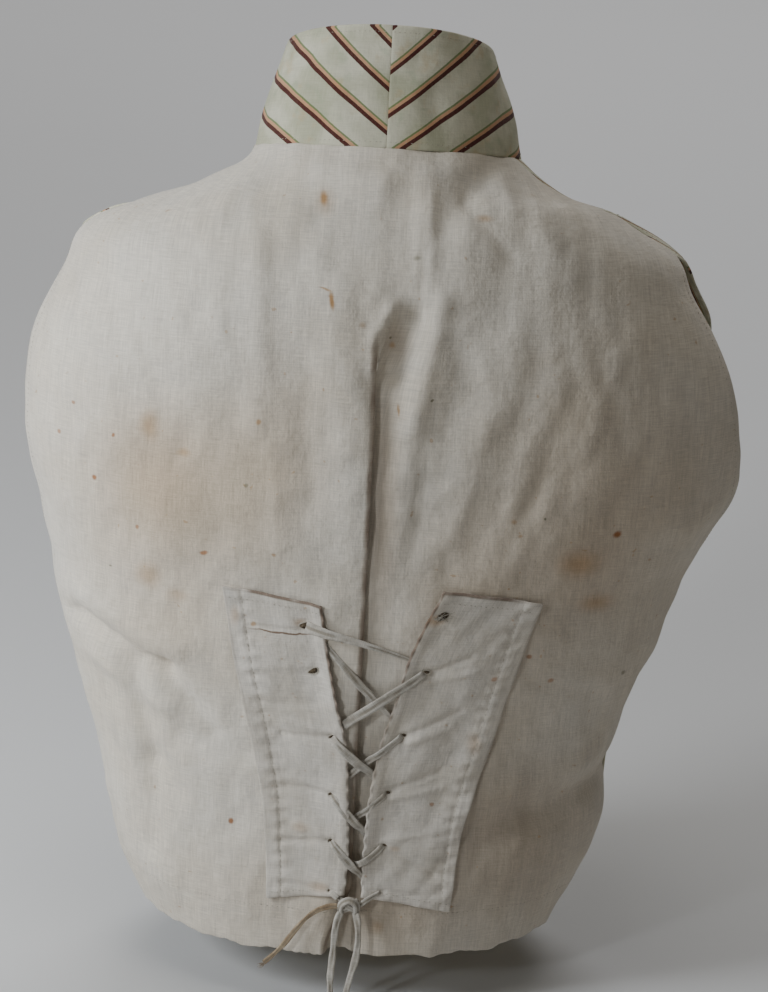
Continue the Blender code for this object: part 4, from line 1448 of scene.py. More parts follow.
@dataclass
class BackPiece:
    """The plain cotton back, from side seam to side seam, with its middle pleat."""

    form: GarmentForm
    side_columns: int = 64
    low_step: float = 2.5
    high_step: float = 1.2
    flare_height: float = 44.0
    crumple: Crumple = field(default_factory=lambda: Crumple(11))
    pleat_stops: tuple[float, ...] = (-33.0, -8.0, 15.0, 37.0)
    pleat_counts: tuple[int, ...] = (14, 46, 14)
    ragged: Crumple = field(default_factory=lambda: Crumple(17, 24, 5.0, 32.0, 0.3))
    ragged_height: float = 9.0
    thickness: float = 1.1
    hem_turning: float = 25.0
    armhole_margin: float = 4.0

    def pleat_places(self) -> Points:
        """Sets out the pleat's columns.

        Returns:
            Their flat places, closer together where the pleat turns.
        """
        spans = zip(self.pleat_stops, self.pleat_stops[1:], self.pleat_counts)
        runs = [np.linspace(start, end, count, endpoint=False) for start, end, count in spans]
        return np.concatenate((*runs, (self.pleat_stops[-1],)))

    def pleat(self, height: float, flat: Points) -> tuple[Points, Points]:
        """Folds the middle of one row.

        Args:
            height: The row's height.
            flat: Flat places along it.

        Returns:
            The folded places and their rises.
        """
        folded, rise, hem_place, hem_rise = read_table(PLEAT, flat)
        share = float(np.clip(read_table(PLEAT_FOLDED, np.array(height))[0], 0.0, 1.0))
        flare = 1.0 - float(smooth_step(0.0, self.flare_height, np.array(height)))
        places = flat + share * (folded + flare * (hem_place - folded) - flat)
        return places, share * (rise + flare * (hem_rise - rise))

    def heights(self) -> Points:
        """Heights of the rows."""
        return row_heights(self.low_step, self.high_step)

    def shell(self) -> ClothShell:
        """Lays out the back's grid.

        Returns:
            The back as a thin sheet.
        """
        flat_middle = self.pleat_places()
        outer, cut = [], []
        for height in self.heights():
            row = LevelRow(self.form, height)
            ends = []
            for side in Side:
                reach = self.form.edge_angle(height, side, -BACK_HOLLOW)
                ends.append(row.length_to(side.value * reach) - side.value * SEAM_GAP / 2)
            middle, rises = self.pleat(height, flat_middle)
            left = np.linspace(ends[0], middle[0], self.side_columns + 1)[:-1]
            right = np.linspace(middle[-1], ends[1], self.side_columns + 1)[1:]
            places = np.concatenate((left, middle, right))
            lifts = np.concatenate((np.zeros(len(left)), rises, np.zeros(len(right))))
            flat = np.concatenate((left, flat_middle, right))
            angles = row.angles_at(places)
            worn = max(1 - height / self.ragged_height, 0.0)
            level = height + worn * self.ragged.lift(flat, np.zeros_like(flat))
            base = self.form.points(angles, level)
            lifts = lifts + fold_lift(BACK_FOLDS, base[:, 0], base[:, 2])
            lifts = lifts + fold_lift(BACK_CREASES, base[:, 0], base[:, 2])
            lifts = lifts + self.crumple.lift(flat, level)
            outer.append(base + lifts[:, None] * self.form.normals(angles, level))
            cut.append(np.stack((flat, level), axis=1))
        return ClothShell(np.array(outer), np.array(cut), self.thickness)

    def edge_stitches(self, shell: ClothShell, finish: Material) -> None:
        """Sews the turned hem and the turned armholes.

        Args:
            shell: The back's sheet.
            finish: The thread.
        """
        normals = grid_normals(shell.outer)
        heights = self.heights()
        parts = MeshParts()
        hem_row = int(np.searchsorted(heights, self.hem_turning))
        StitchRow(shell.outer[hem_row], normals[hem_row], 1.3, 3.0, 0.3, seed=5).add_to(parts)
        ends = (UNDERARM + self.armhole_margin, SHOULDER_TIP - self.armhole_margin)
        low, high = np.searchsorted(heights, ends)
        for column, seed in ((2, 6), (-3, 7)):
            line = shell.outer[low:high, column]
            StitchRow(line, normals[low:high, column], 1.0, 3.2, 0.3, seed=seed).add_to(parts)
        made = parts.build("back_stitches", finish, "plain_cotton")
        LOG.info("%s: hem and armholes sewn", made.name)

    def build(self, cotton: Material, thread: Material) -> None:
        """Makes the back and sews its edges.

        Args:
            cotton: Its cloth.
            thread: Its thread.
        """
        shell = self.shell()
        shell.dress("back", cotton, "plain_cotton", "draped")
        self.edge_stitches(shell, thread)


@dataclass
class FrontPiece:
    """One striped front, from its side seam to the closing edge."""

    form: GarmentForm
    side: Side
    columns: int = 76
    low_step: float = 3.4
    high_step: float = 1.6
    overlap: float = 10.0
    closure_step: float = 2.1
    blend_start: float = 13.0
    blend_end: float = 30.0
    thickness: float = 1.2
    edge_turned: float = 3.0
    crumple: Crumple = field(default_factory=lambda: Crumple(23, height=0.17))

    def heights(self) -> Points:
        """Heights of the front's rows."""
        return row_heights(self.low_step, self.high_step)

    def lift(self, base: Points, across: Points, height: Points) -> Points:
        """Lift of the front's cloth over the form.

        Args:
            base: Places on the form.
            across: Distance from the closing edge.
            height: Height over the hem.

        Returns:
            The lift at each place.
        """
        folds = np.where(base[..., 1] > 0, fold_lift(FRONT_FOLDS, base[..., 0], base[..., 2]), 0.0)
        lift = folds + self.crumple.lift(across * self.side.value, height)
        if self.side is Side.RIGHT:
            beside = smooth_step(self.blend_start, self.blend_end, base[..., 0])
            lift = lift - self.closure_step * (1 - beside)
        return lift

    def shell(self) -> ClothShell:
        """Lays out the front's grid.

        Returns:
            The front as a thin sheet.
        """
        sign = self.side.value
        outer, cut = [], []
        for height in self.heights():
            row = LevelRow(self.form, height)
            front_depth = float(self.form.sizes(np.array((height,)))[3][0])
            overlap = math.atan2(self.overlap, front_depth)
            seam_angle = self.form.edge_angle(height, self.side, FRONT_HOLLOW)
            seam = row.length_to(sign * seam_angle) + sign * SEAM_GAP / 2
            closing = row.length_to(sign * (math.pi + overlap))
            places = np.linspace(seam, closing, self.columns + 1)[::sign]
            angles = row.angles_at(places)
            level = np.full_like(angles, height)
            base = self.form.points(angles, level)
            across = np.abs(closing - places)
            lift = self.lift(base, across, level)
            outer.append(base + lift[:, None] * self.form.normals(angles, level))
            cut.append(np.stack((across + self.edge_turned, level), axis=1))
        return ClothShell(np.array(outer), np.array(cut), self.thickness)

    def surface(self, x: Points, height: Points, lift: float) -> tuple[Points, Points]:
        """Places near the closing edge.

        Args:
            x: Distance from the middle of the front, towards the wearer's right.
            height: Height over the hem.
            lift: Distance out from the cloth.

        Returns:
            The places and the directions out.
        """
        front_depth = self.form.sizes(height)[3]
        angles = -(math.pi + np.arctan2(x, front_depth))
        base = self.form.points(angles, height)
        across = np.maximum(self.overlap - x, 0.0)
        total = self.lift(base, across, height) + lift
        normals = self.form.normals(angles, height)
        return base + total[..., None] * normals, normals

    def build(self, striped: Material, thread: Material) -> None:
        """Makes the front and sews along its edges.

        Args:
            striped: Its cloth.
            thread: Its thread.
        """
        name = f"front_{self.side.name.lower()}"
        shell = self.shell()
        shell.dress(name, striped, "striped_cotton", "draped")
        normals = grid_normals(shell.outer)
        parts = MeshParts()
        edge = -3 if self.side is Side.LEFT else 2
        for column, seed in ((edge, 8), (-edge - 1, 9)):
            line, outward = shell.outer[2:-4, column], normals[2:-4, column]
            StitchRow(line, outward, 1.2, 3.2, 0.3, seed=seed).add_to(parts)
        StitchRow(shell.outer[3], normals[3], 1.2, 3.2, 0.3, seed=10).add_to(parts)
        parts.build(f"{name}_stitches", thread, "striped_cotton")


@dataclass
class Collar:
    """The striped standing collar, cut in two halves that meet in the middle of the back."""

    form: GarmentForm
    # The upper edge, in the columns of SECTIONS
    top: tuple[float, ...] = (486.5, 56, 55, 50, 50, 2.05, 0.45, 35)
    rows: int = 46
    columns: int = 120
    wall: float = 1.9
    bulge: float = 1.6
    lift: float = 0.5
    end_gap: float = 5.0
    corner_start: float = 0.86
    corner_drop: float = 0.4
    least_turn: float = 0.42
    crumple: Crumple = field(default_factory=lambda: Crumple(31, height=0.16, longest=45.0))

    def shell(self, side: Side) -> ClothShell:
        """Lays out one half.

        Args:
            side: The half's side.

        Returns:
            The half as a thin sheet.
        """
        base_sizes = [float(size[0]) for size in self.form.sizes(np.array((NECK,)))]
        end = math.pi - math.atan2(self.end_gap / 2, base_sizes[3])
        start = math.atan2(SEAM_GAP, base_sizes[2])
        shares = np.linspace(0.0, 1.0, self.columns + 1)
        angles = side.value * (start + shares * (end - start))
        low = section_points(angles, NECK, base_sizes)
        high = section_points(angles, self.top[0], self.top[1:])
        up = unit(high - low)
        out = unit(low * np.array((1.0, 1.0, 0.0)))
        corner = np.maximum((shares - self.corner_start) / (1 - self.corner_start), 0.0)
        middle = (low + high) / 2
        lengths = chord_lengths(middle)
        steps = np.maximum(np.abs(np.diff(middle[:, 0])), self.least_turn * np.diff(lengths))
        across = np.concatenate(((0.0,), np.cumsum(steps)))
        reach_up = np.linalg.norm(high - low, axis=1)
        outer, cut = [], []
        for level in np.linspace(0.0, 1.0, self.rows + 1):
            reach = level * (1 - self.corner_drop * corner * corner)
            line = low + reach[:, None] * (high - low) + (1 - level) * self.lift * up
            heights = reach * reach_up
            uneven = self.crumple.lift(side.value * lengths, heights) * math.sin(math.pi * level)
            line = line + (self.bulge * math.sin(math.pi * level) + uneven)[:, None] * out
            outer.append(line[:: side.value])
            cut.append(np.stack((side.value * (across + 0.2), heights), axis=1)[:: side.value])
        return ClothShell(np.array(outer), np.array(cut), self.wall)

    def build(self, striped: Material, thread: Material) -> None:
        """Makes both halves and sews their edges.

        Args:
            striped: Their cloth.
            thread: Their thread.
        """
        for side in Side:
            name = f"collar_{side.name.lower()}"
            shell = self.shell(side)
            shell.dress(name, striped, "striped_cotton", "stretched")
            normals = grid_normals(shell.outer)
            parts = MeshParts()
            StitchRow(shell.outer[-3], normals[-3], 1.0, 2.6, 0.28, seed=12).add_to(parts)
            StitchRow(shell.outer[2], normals[2], 1.0, 2.8, 0.28, seed=13).add_to(parts)
            parts.build(f"{name}_stitches", thread, "striped_cotton")
        LOG.info("collar: two halves")


# Edges of the laced panels, bottom to top: inner x and height, outer x and height
LEFT_PANEL = (
    (-2.0, 37.5, -43.8, 30.5),
    (-1.2, 63.0, -45.6, 58.5),
    (-2.4, 91.5, -48.4, 88.5),
    (-4.8, 124.0, -55.0, 121.0),
    (-11.0, 150.5, -62.6, 153.0),
    (-17.5, 181.0, -68.8, 182.0),
    (-22.0, 208.5, -74.0, 215.0),
)
RIGHT_PANEL = (
    (7.5, 36.0, 55.5, 26.8),
    (7.6, 65.5, 58.0, 59.0),
    (9.0, 94.0, 62.4, 88.5),
    (13.4, 124.5, 71.4, 122.0),
    (20.6, 154.0, 78.6, 151.0),
    (28.0, 184.0, 87.0, 182.5),
    (42.5, 220.5, 95.0, 212.5),
)
# Eyelets of the panels, top to bottom: middle x and height, half width, half height, tilt
LEFT_EYELETS = (
    (-30.4, 195.6, 2.4, 1.8, -25),
    (-24.5, 169.0, 2.7, 1.5, -28),
    (-13.0, 130.6, 1.6, 1.0, -10),
    (-11.8, 96.2, 1.6, 1.0, -10),
    (-11.0, 68.4, 1.5, 1.0, -20),
    (-9.9, 38.9, 1.4, 1.0, -20),
)
RIGHT_EYELETS = (
    (41.4, 205.2, 4.6, 2.3, -14),
    (36.0, 171.2, 1.8, 1.1, 10),
    (25.5, 132.3, 1.6, 1.0, 15),
    (18.8, 97.3, 1.6, 1.1, 10),
    (18.3, 65.9, 1.5, 1.0, 20),
    (18.8, 38.8, 1.5, 1.0, 20),
)
# Creases that the pull of the lace makes in the panels: start x and height, end x and height, half width,
# lift
PANEL_CREASES = (
    (-12, 130, -40, 129, 1.9, -1.0),
    (-12, 133.5, -38, 137, 2.2, 0.7),
    (-12, 96, -36, 98, 1.9, -1.0),
    (-12, 99, -34, 104, 2.2, 0.7),
    (-12, 68, -38, 65, 1.9, -1.0),
    (-12, 71, -30, 76, 2.4, 0.6),
    (-12, 39, -34, 40, 2.0, -0.7),
    (-20, 192, -60, 193, 1.2, -0.8),
    (-26, 172, -60, 168, 3.0, 0.6),
    (-22, 150, -52, 146, 2.6, -0.5),
    (36, 169, 59, 181, 2.0, -0.9),
    (38, 165, 62, 172, 2.4, 0.7),
    (25, 131, 55, 148, 2.0, -0.9),
    (25, 127, 52, 138, 2.4, 0.7),
    (18, 98, 46, 111, 2.0, -0.9),
    (18, 93, 48, 101, 2.4, 0.7),
    (18, 65, 46, 49, 1.5, -1.2),
    (18, 69, 44, 74, 2.4, 0.6),
    (18, 38, 44, 36, 2.0, -0.6),
    (40, 200, 76, 196, 3.0, 0.6),
)


@dataclass
class LacingPanel:
    """A laced panel that lies on the back, with turned edges and eyelets along its inner edge."""

    form: GarmentForm
    side: Side
    edges: Sequence[Sequence[float]]
    stitch_low: float
    stitch_high: float
    edge_lift: float
    eyelets: Sequence[Sequence[float]]
    rows: int = 190
    columns: int = 64
    panel_height: float = 180.0
    wall: float = 1.2
    clear: float = 0.8
    edge_lift_width: float = 6.0
    crest_bump: float = 3.4
    crest_x: float = -7.0
    crest_width: float = 11.0
    turning: float = 0.35
    turning_width: float = 5.0
    groove: float = 0.38
    pucker: float = 0.5
    torn_from: float = 3.0
    torn_threads: int = 30
    eyelet_dip: float = 0.8
    eyelet_dip_width: float = 1.5
    crumple: Crumple = field(default_factory=lambda: Crumple(41, shortest=8.0, longest=38.0, height=0.15))

    def place(self, up: Points, across: Points) -> tuple[Points, Points, Points]:
        """Finds places in the panel.

        Args:
            up: Share of the way up, from 0 to 1.
            across: Share of the way from the inner to the outer edge.

        Returns:
            x, height, and the distance from the inner edge.
        """
        table = np.array(self.edges, dtype=float)
        shares = np.linspace(0.0, 1.0, len(table))
        curves = [smooth_curve(shares, column, up) for column in table.T]
        inner_x, inner_height, outer_x, outer_height = curves
        x = inner_x + across * (outer_x - inner_x)
        height = inner_height + across * (outer_height - inner_height)
        return x, height, across * np.hypot(outer_x - inner_x, outer_height - inner_height)

    def inner_edge(self, height: Points) -> Points:
        """x of the inner edge at some heights."""
        table = np.array(self.edges, dtype=float)
        return np.interp(height, table[:, 1], table[:, 0])

    def under_lift(self, x: Points, from_edge: Points) -> Points:
        """Finds how high the panel lies.

        Args:
            x: Distance from the middle of the back.
            from_edge: Distance from the inner edge.

        Returns:
            The distance from the section out to the panel's underside.
        """
        curl = self.edge_lift * np.exp(-((from_edge / self.edge_lift_width) ** 2))
        crest = self.crest_bump * np.exp(-(((x - self.crest_x) / self.crest_width) ** 2))
        return self.clear + curl + crest

    def stitch_share(self, up: Points) -> Points:
        """Share of the way across at which the outer turning is sewn."""
        return self.stitch_low + up * (self.stitch_high - self.stitch_low)

    def relief(self, up: Points, across: Points, x: Points, height: Points, from_edge: Points) -> Points:
        """Small relief of the panel: its turnings, its sewn grooves and the pull of the lace.

        Args:
            up: Share of the way up.
            across: Share of the way across.
            x: Distance from the middle of the back.
            height: Height over the hem.
            from_edge: Distance from the inner edge.

        Returns:
            The lift over the panel's plain outer face.
        """
        panel_width = from_edge / np.maximum(across, 0.001)
        from_stitch = (across - self.stitch_share(up)) * panel_width
        relief = self.turning * smooth_step(-0.8, 0.8, from_stitch)
        relief = relief - self.groove * np.exp(-((from_stitch / 0.9) ** 2))
        waves = np.sin(2 * math.pi * height / 8.3 + 0.9 * np.sin(height / 13.0))
        relief = relief + self.pucker * waves * np.exp(-((from_stitch / 4.0) ** 2))
        for away in (from_edge, (1 - up) * self.panel_height):
            single = smooth_step(self.turning_width - 1, self.turning_width + 1, away)
            relief = relief + self.turning * (1 - single)
        relief = relief + fold_lift(PANEL_CREASES, x, height)
        for eyelet_x, eyelet_height, half_width, half_height, _ in self.eyelets:
            away = np.hypot((x - eyelet_x) / half_width, (height - eyelet_height) / half_height)
            relief = relief - self.eyelet_dip * np.exp(-((away / self.eyelet_dip_width) ** 2))
        return relief

    def surface(self, up: Points, across: Points, lift: float = 0.0) -> Points:
        """Finds places on the panel's outer face.

        Args:
            up: Share of the way up.
            across: Share of the way across.
            lift: Distance out from the face.

        Returns:
            The places.
        """
        x, height, from_edge = self.place(up, across)
        total = self.under_lift(x, from_edge) + self.wall + lift
        total = total + self.relief(up, across, x, height, from_edge)
        total = total + self.crumple.lift(from_edge, height)
        return self.form.back_point(x, height, total)

    def shell(self) -> ClothShell:
        """Lays out the panel's grid.

        Returns:
            The panel as a thin sheet.
        """
        shares = np.linspace(0.0, 1.0, self.columns + 1)[:: self.side.value]
        up, across = np.meshgrid(np.linspace(0.0, 1.0, self.rows + 1), shares, indexing="ij")
        _, height, from_inner = self.place(up, across)
        outer_edge = from_inner[:, -1:] if self.side is Side.RIGHT else from_inner[:, :1]
        from_ends = np.minimum(up, 1 - up) * self.panel_height
        from_edge = np.minimum(np.minimum(from_inner, outer_edge - from_inner), from_ends)
        cut = np.stack((from_inner, height, from_edge), axis=-1)
        return ClothShell(self.surface(up, across), cut, self.wall)

    def point_at(self, x: float, height: float, lift: float) -> tuple[Points, Points]:
        """One place on the outer face, over x and height.

        Args:
            x: Distance from the middle of the back.
            height: Height over the hem.
            lift: Distance out from the panel.

        Returns:
            The place and the direction out.
        """
        here, level = np.array((x,)), np.array((height,))
        from_edge = np.abs(here - self.inner_edge(level))
        total = self.under_lift(here, from_edge) + self.wall + lift
        total = total + fold_lift(PANEL_CREASES, here, level)
        angles = self.form.back_angles(here, level)
        return self.form.back_point(here, level, total)[0], self.form.normals(angles, level)[0]

    def add_eyelets(self, thread: Material, shade: Material) -> None:
        """Works each eyelet: a ring of close stitches round a dark opening.

        Args:
            thread: The thread's finish.
            shade: The finish of the opening.
        """
        rings, openings = MeshParts(), MeshParts()
        for index, (x, height, half_width, half_height, tilt) in enumerate(self.eyelets):
            middle, normal = self.point_at(x, height, -0.4)
            level = unit(np.cross(normal, UPWARDS))
            upright = np.cross(level, normal)
            turn = math.radians(tilt)
            side = level * math.cos(turn) + upright * math.sin(turn)
            upward = upright * math.cos(turn) - level * math.sin(turn)
            turns = np.linspace(0.0, 2 * math.pi, 41)
            uneven = 1 + 0.1 * np.sin(3 * turns + index)
            oval = np.cos(turns)[:, None] * side * half_width + np.sin(turns)[:, None] * upward * half_height
            thickness = 0.62 * (1 + 0.3 * np.sin(13 * turns))
            ring = middle + 1.12 * uneven[:, None] * oval
            if half_width < self.torn_from:
                Strand(ring, normal, thickness, thickness, sides=8, squareness=1.0).add_to(rings)
            # The opening is a shallow cup in the dark eyelet shade finish over the uncut panel: painted
            # shade where the hole is
            rim = (middle + 0.12 * normal + uneven[:, None] * oval)[:-1]
            low = rim - 0.3 * normal
            count = len(rim)
            faces = [tuple(range(count)), tuple(range(2 * count - 1, count - 1, -1))]
            faces += [(k, k + count, (k + 1) % count + count, (k + 1) % count) for k in range(count)]
            openings.add(to_world(np.concatenate((rim, low))), faces)
            if half_width > self.torn_from:
                self.fray_opening(rings, middle, normal, oval[:-1])
        name = f"eyelets_{self.side.name.lower()}"
        rings.build(name, thread, "panel_cotton")
        openings.build(f"{name}_openings", shade, "panel_cotton")

    def fray_opening(self, parts: MeshParts, middle: Points, normal: Points, oval: Points) -> None:
        """Lays broken threads over a torn opening.

        Args:
            parts: The mesh that takes the threads.
            middle: The opening's middle.
            normal: Its direction out.
            oval: Its border, from its middle.
        """
        draws = np.random.default_rng(83)
        shares = np.linspace(0.0, 1.0, 6)
        for number in range(self.torn_threads):
            start = oval[draws.integers(len(oval))] * draws.uniform(1.0, 1.25)
            end = start * draws.uniform(-0.2, 0.5)
            end = end + oval[draws.integers(len(oval))] * draws.uniform(0.0, 0.45)
            if number % 2:
                end = start * draws.uniform(1.15, 1.7)
            rise = 0.25 + draws.uniform(0.2, 0.8) * shares
            line = middle + start + shares[:, None] * (end - start) + rise[:, None] * normal
            thread = 0.42 * (1 - 0.5 * shares)
            Strand(line, normal, thread, thread, sides=5, squareness=1.0).add_to(parts)

    def add_stitches(self, thread: Material) -> None:
        """Sews the turned edges down.

        Args:
            thread: The thread.
        """
        parts = MeshParts()
        up = np.linspace(0.01, 0.995, 120)
        lines = [(up, self.stitch_share(up), 2.3, 3.6)]
        across = np.linspace(0.02, 0.98, 60)
        lines.append((np.full_like(across, 0.972), across, 1.2, 3.0))
        lines.append((np.full_like(across, 0.02), across, 1.2, 3.0))
        for index, (ups, shares, length, pitch) in enumerate(lines):
            places = self.surface(ups, shares, -0.12)
            x, height, _ = self.place(ups, shares)
            normals = self.form.normals(self.form.back_angles(x, height), height)
            StitchRow(places, normals, length, pitch, 0.42, seed=50 + index).add_to(parts)
        parts.build(f"lacing_panel_{self.side.name.lower()}_stitches", thread, "panel_cotton")

    def build(self, cotton: Material, thread: Material, shade: Material) -> None:
        """Makes the panel, its stitches and its eyelets.

        Args:
            cotton: Its cloth.
            thread: Its thread.
            shade: The finish of the eyelets' openings.
        """
        name = f"lacing_panel_{self.side.name.lower()}"
        self.shell().dress(name, cotton, "panel_cotton", "laid")
        self.add_stitches(thread)
        self.add_eyelets(thread, shade)


@dataclass(frozen=True)
class Crossing:
    """One stretch of lace from an eyelet to where it is hidden.

    start and end are x and height, middle is its distance out from the section half-way over the gap, widths
    are at its start, half-way and its end, and arch is how far it bows upwards.
    """

    name: str
    start: tuple[float, float]
    end: tuple[float, float]
    leaves: Pass
    middle: float | None
    arrives: Pass
    widths: tuple[float, float, float]
    arch: float = 0.0
    twist: float = 0.0
    groove: float = 0.35


OVER, UNDER = Pass.OVER, Pass.UNDER
CROSSINGS = (
    Crossing("lace_1", (-29.8, 195.5), (29.0, 177.0), OVER, 4.6, UNDER, (6.6, 3.8, 2.7), 2.4, 16, 0.3),
    Crossing("lace_2", (-18.6, 185.4), (18.8, 142.0), UNDER, 3.9, UNDER, (2.8, 4.7, 3.5), 0.0, 30, 0.3),
    Crossing("lace_3", (35.2, 170.8), (-7.6, 138.0), OVER, 5.4, UNDER, (4.7, 5.9, 5.0), 0.8, 8, 0.8),
    Crossing("lace_4", (-12.8, 130.2), (12.4, 105.0), OVER, 6.1, UNDER, (4.2, 5.2, 4.2), 0.6, 12, 0.55),
    Crossing("lace_5", (24.9, 132.0), (-3.4, 107.0), OVER, 2.0, UNDER, (3.8, 4.2, 3.5), 0.3, 14, 0.4),
    Crossing("lace_6", (-11.4, 95.8), (8.6, 71.4), OVER, 5.6, UNDER, (4.2, 5.1, 3.8), 0.6, 10, 0.65),
    Crossing("lace_7", (18.2, 97.0), (-1.4, 79.0), OVER, 2.6, UNDER, (4.0, 3.9, 3.3), 0.3, 14, 0.4),
    Crossing("lace_8", (-10.7, 68.0), (8.4, 45.0), OVER, 5.6, UNDER, (3.1, 4.8, 2.8), 0.5, 18, 0.6),
    Crossing("lace_9", (17.8, 65.6), (-0.6, 53.4), OVER, 2.6, UNDER, (3.8, 4.0, 3.3), -2.0, 12, 0.4),
    Crossing("lace_10", (-9.6, 38.6), (-5.6, 35.6), OVER, None, OVER, (3.3, 3.3, 3.3), 0.0, 0, 0.3),
    Crossing("lace_11", (18.2, 38.6), (6.5, 31.4), OVER, None, OVER, (2.6, 3.1, 3.1), 0.4, 20, 0.4),
)


@dataclass
class Lacing:
    """The lace: its crossings over the gap, its knot, its loop and its free end."""

    form: GarmentForm
    panels: dict[Side, LacingPanel]
    clear: float = 0.3
    under_clear: float = 0.8
    thickness: float = 1.0
    edge_margin: float = 2.4
    samples: int = 34
    cord_width: float = 3.7
    cord_thickness: float = 1.8
    tail_width: float = 2.9
    knot_place: tuple[float, float] = (0.6, 31.2)
    knot_lift: float = 6.4
    dive: float = 2.2
    dive_width: float = 1.4

    def level(self, kind: Pass, side: Side, x: Points, height: Points) -> Points:
        """Distance from the section out to the middle of a tape that meets a panel.

        Args:
            kind: Whether it lies over or passes under the panel.
            side: The panel's side.
            x: Distance from the middle of the back.
            height: Height over the hem.

        Returns:
            The distance out at each place.
        """
        panel = self.panels[side]
        from_edge = np.maximum(side.value * (x - panel.inner_edge(height)), 0.0)
        under = panel.under_lift(x, from_edge)
        if kind is Pass.OVER:
            creases = fold_lift(PANEL_CREASES, x, height)
            return under + panel.wall + self.clear + self.thickness / 2 + np.maximum(creases, 0.0)
        return under - self.under_clear - self.thickness / 2

    def levels(self, crossing: Crossing, x: Points, height: Points, shares: Points) -> Points:
        """Distance out along a whole crossing.

        Args:
            crossing: The crossing.
            x: Its x at each share.
            height: Its height at each share.
            shares: Shares of the way along it.

        Returns:
            The distance out at each share, smooth from the one panel to the other.
        """
        first = Side.LEFT if crossing.start[0] < 0 else Side.RIGHT
        leaving = self.level(crossing.leaves, first, x, height)
        if crossing.middle is None:
            return leaving
        other = Side.RIGHT if first is Side.LEFT else Side.LEFT
        arriving = self.level(crossing.arrives, other, x, height)
        run = crossing.end[0] - crossing.start[0]
        gap = []
        for side, place in ((first, crossing.start), (other, crossing.end)):
            edge = float(self.panels[side].inner_edge(np.array(place[1]))) - side.value * self.edge_margin
            gap.append(min(max((edge - crossing.start[0]) / run, 0.04), 0.96))
        leaves, enters = gap
        middle = (leaves + enters) / 2
        start = float(np.interp(leaves, shares, leaving))
        end = float(np.interp(enters, shares, arriving))
        high = crossing.middle + self.thickness / 2
        bridge = np.interp(shares, (leaves, middle, enters), (start, high, end))
        levels = np.where(shares < leaves, leaving, np.where(shares > enters, arriving, bridge))
        kernel = np.array((1.0, 2.0, 3.0, 2.0, 1.0)) / 9
        return np.convolve(np.pad(levels, 2, mode="edge"), kernel, mode="valid")

    def strand(self, crossing: Crossing) -> Strand:
        """Lays one crossing as a tape that dives into its eyelet.

        Args:
            crossing: The crossing.

        Returns:
            The tape.
        """
        shares = np.linspace(0.0, 1.0, self.samples)
        start, end = np.array(crossing.start), np.array(crossing.end)
        run = end - start
        line = start + shares[:, None] * run
        line[:, 1] += crossing.arch * np.sin(math.pi * shares)
        x, height = line[:, 0], line[:, 1]
        levels = self.levels(crossing, x, height, shares)
        if crossing.leaves is Pass.OVER:
            levels = levels - self.dive * np.exp(-((shares * math.hypot(*run) / self.dive_width) ** 2))
        centres = self.form.back_point(x, height, levels)
        normals = self.form.normals(self.form.back_angles(x, height), height)
        along = unit(np.gradient(centres, axis=0))
        sideways = np.cross(normals, along)
        turn = np.radians(crossing.twist) * np.sin(1.5 * math.pi * shares)
        outward = normals * np.cos(turn)[:, None] + sideways * np.sin(turn)[:, None]
        widths = smooth_curve(np.array((0.0, 0.5, 1.0)), np.array(crossing.widths), shares)
        heights = np.full_like(widths, self.thickness) * (1 + 0.12 * np.sin(9 * shares))
        return Strand(centres, outward, widths, heights, crossing.groove)

    def route(self, places: Sequence[Sequence[float]]) -> Points:
        """A hanging route as points over the hem's section."""
        return np.array([(x, -HEM_DEPTH - out, height) for x, height, out in places])

    def add_cord(
        self, name: str, places: Sequence[Sequence[float]], width: float, tape: Material
    ) -> bpy.types.Object:
        """Hangs one stretch of lace in place of its solid and logs its length.

        Args:
            name: Its solid's name.
            places: Its route.
            width: Its width.
            tape: Its finish.

        Returns:
            The new object.
        """
        centres = even_points(self.route(places), 1.0)
        lengths = chord_lengths(centres)
        swing = 0.35 * np.sin(lengths / 7.0) + 0.2 * np.sin(lengths / 3.1)
        outward = unit(BEHIND + swing[:, None] * np.array((0.7, 0.0, 0.3)))
        widths = width * (1 + 0.13 * np.sin(lengths / 4.3) + 0.06 * np.sin(lengths / 1.9))
        heights = self.cord_thickness * (1 + 0.12 * np.sin(lengths / 5.2 + 1.0))
        parts = MeshParts()
        Strand(centres, outward, widths, heights, 0.45).add_to(parts)
        made = parts.build(f"{name}_tape", tape, "lace_tape")
        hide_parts(name)
        LOG.info("%s: %.0f mm of lace", made.name, lengths[-1])
        return made

    def build_cords(self, tape: Material, soiled: Material) -> None:
        """Hangs the loop and the free end."""
        self.add_cord("lace_loop", LOOP_ROUTE, self.cord_width, tape)
        self.add_cord("lace_tail", TAIL_ROUTE, self.tail_width, soiled)

    def fray(self, tape: Material) -> None:
        """Frays the free end into fine threads.

        Args:
            tape: Their finish.
        """
        end = self.route(TAIL_ROUTE)[-1]
        draws = np.random.default_rng(71)
        parts = MeshParts()
        for _ in range(9):
            reach = np.array((-draws.uniform(2.0, 4.4), draws.uniform(-0.8, 0.4), -draws.uniform(0.6, 3.6)))
            bend = np.array((draws.uniform(-0.8, 0.8), draws.uniform(-0.5, 0.5), draws.uniform(-0.8, 0.8)))
            shares = np.linspace(0.0, 1.0, 7)
            spread = np.array((0.6, draws.uniform(-0.4, 0.4), draws.uniform(-0.7, 0.9)))
            line = end + spread + shares[:, None] * reach + (shares * (1 - shares))[:, None] * 3 * bend
            thread = 0.3 * (1 - 0.4 * shares)
            Strand(line, BEHIND, thread, thread, sides=5, squareness=1.0).add_to(parts)
        parts.build("lace_tail_fray", tape, "lace_tape")

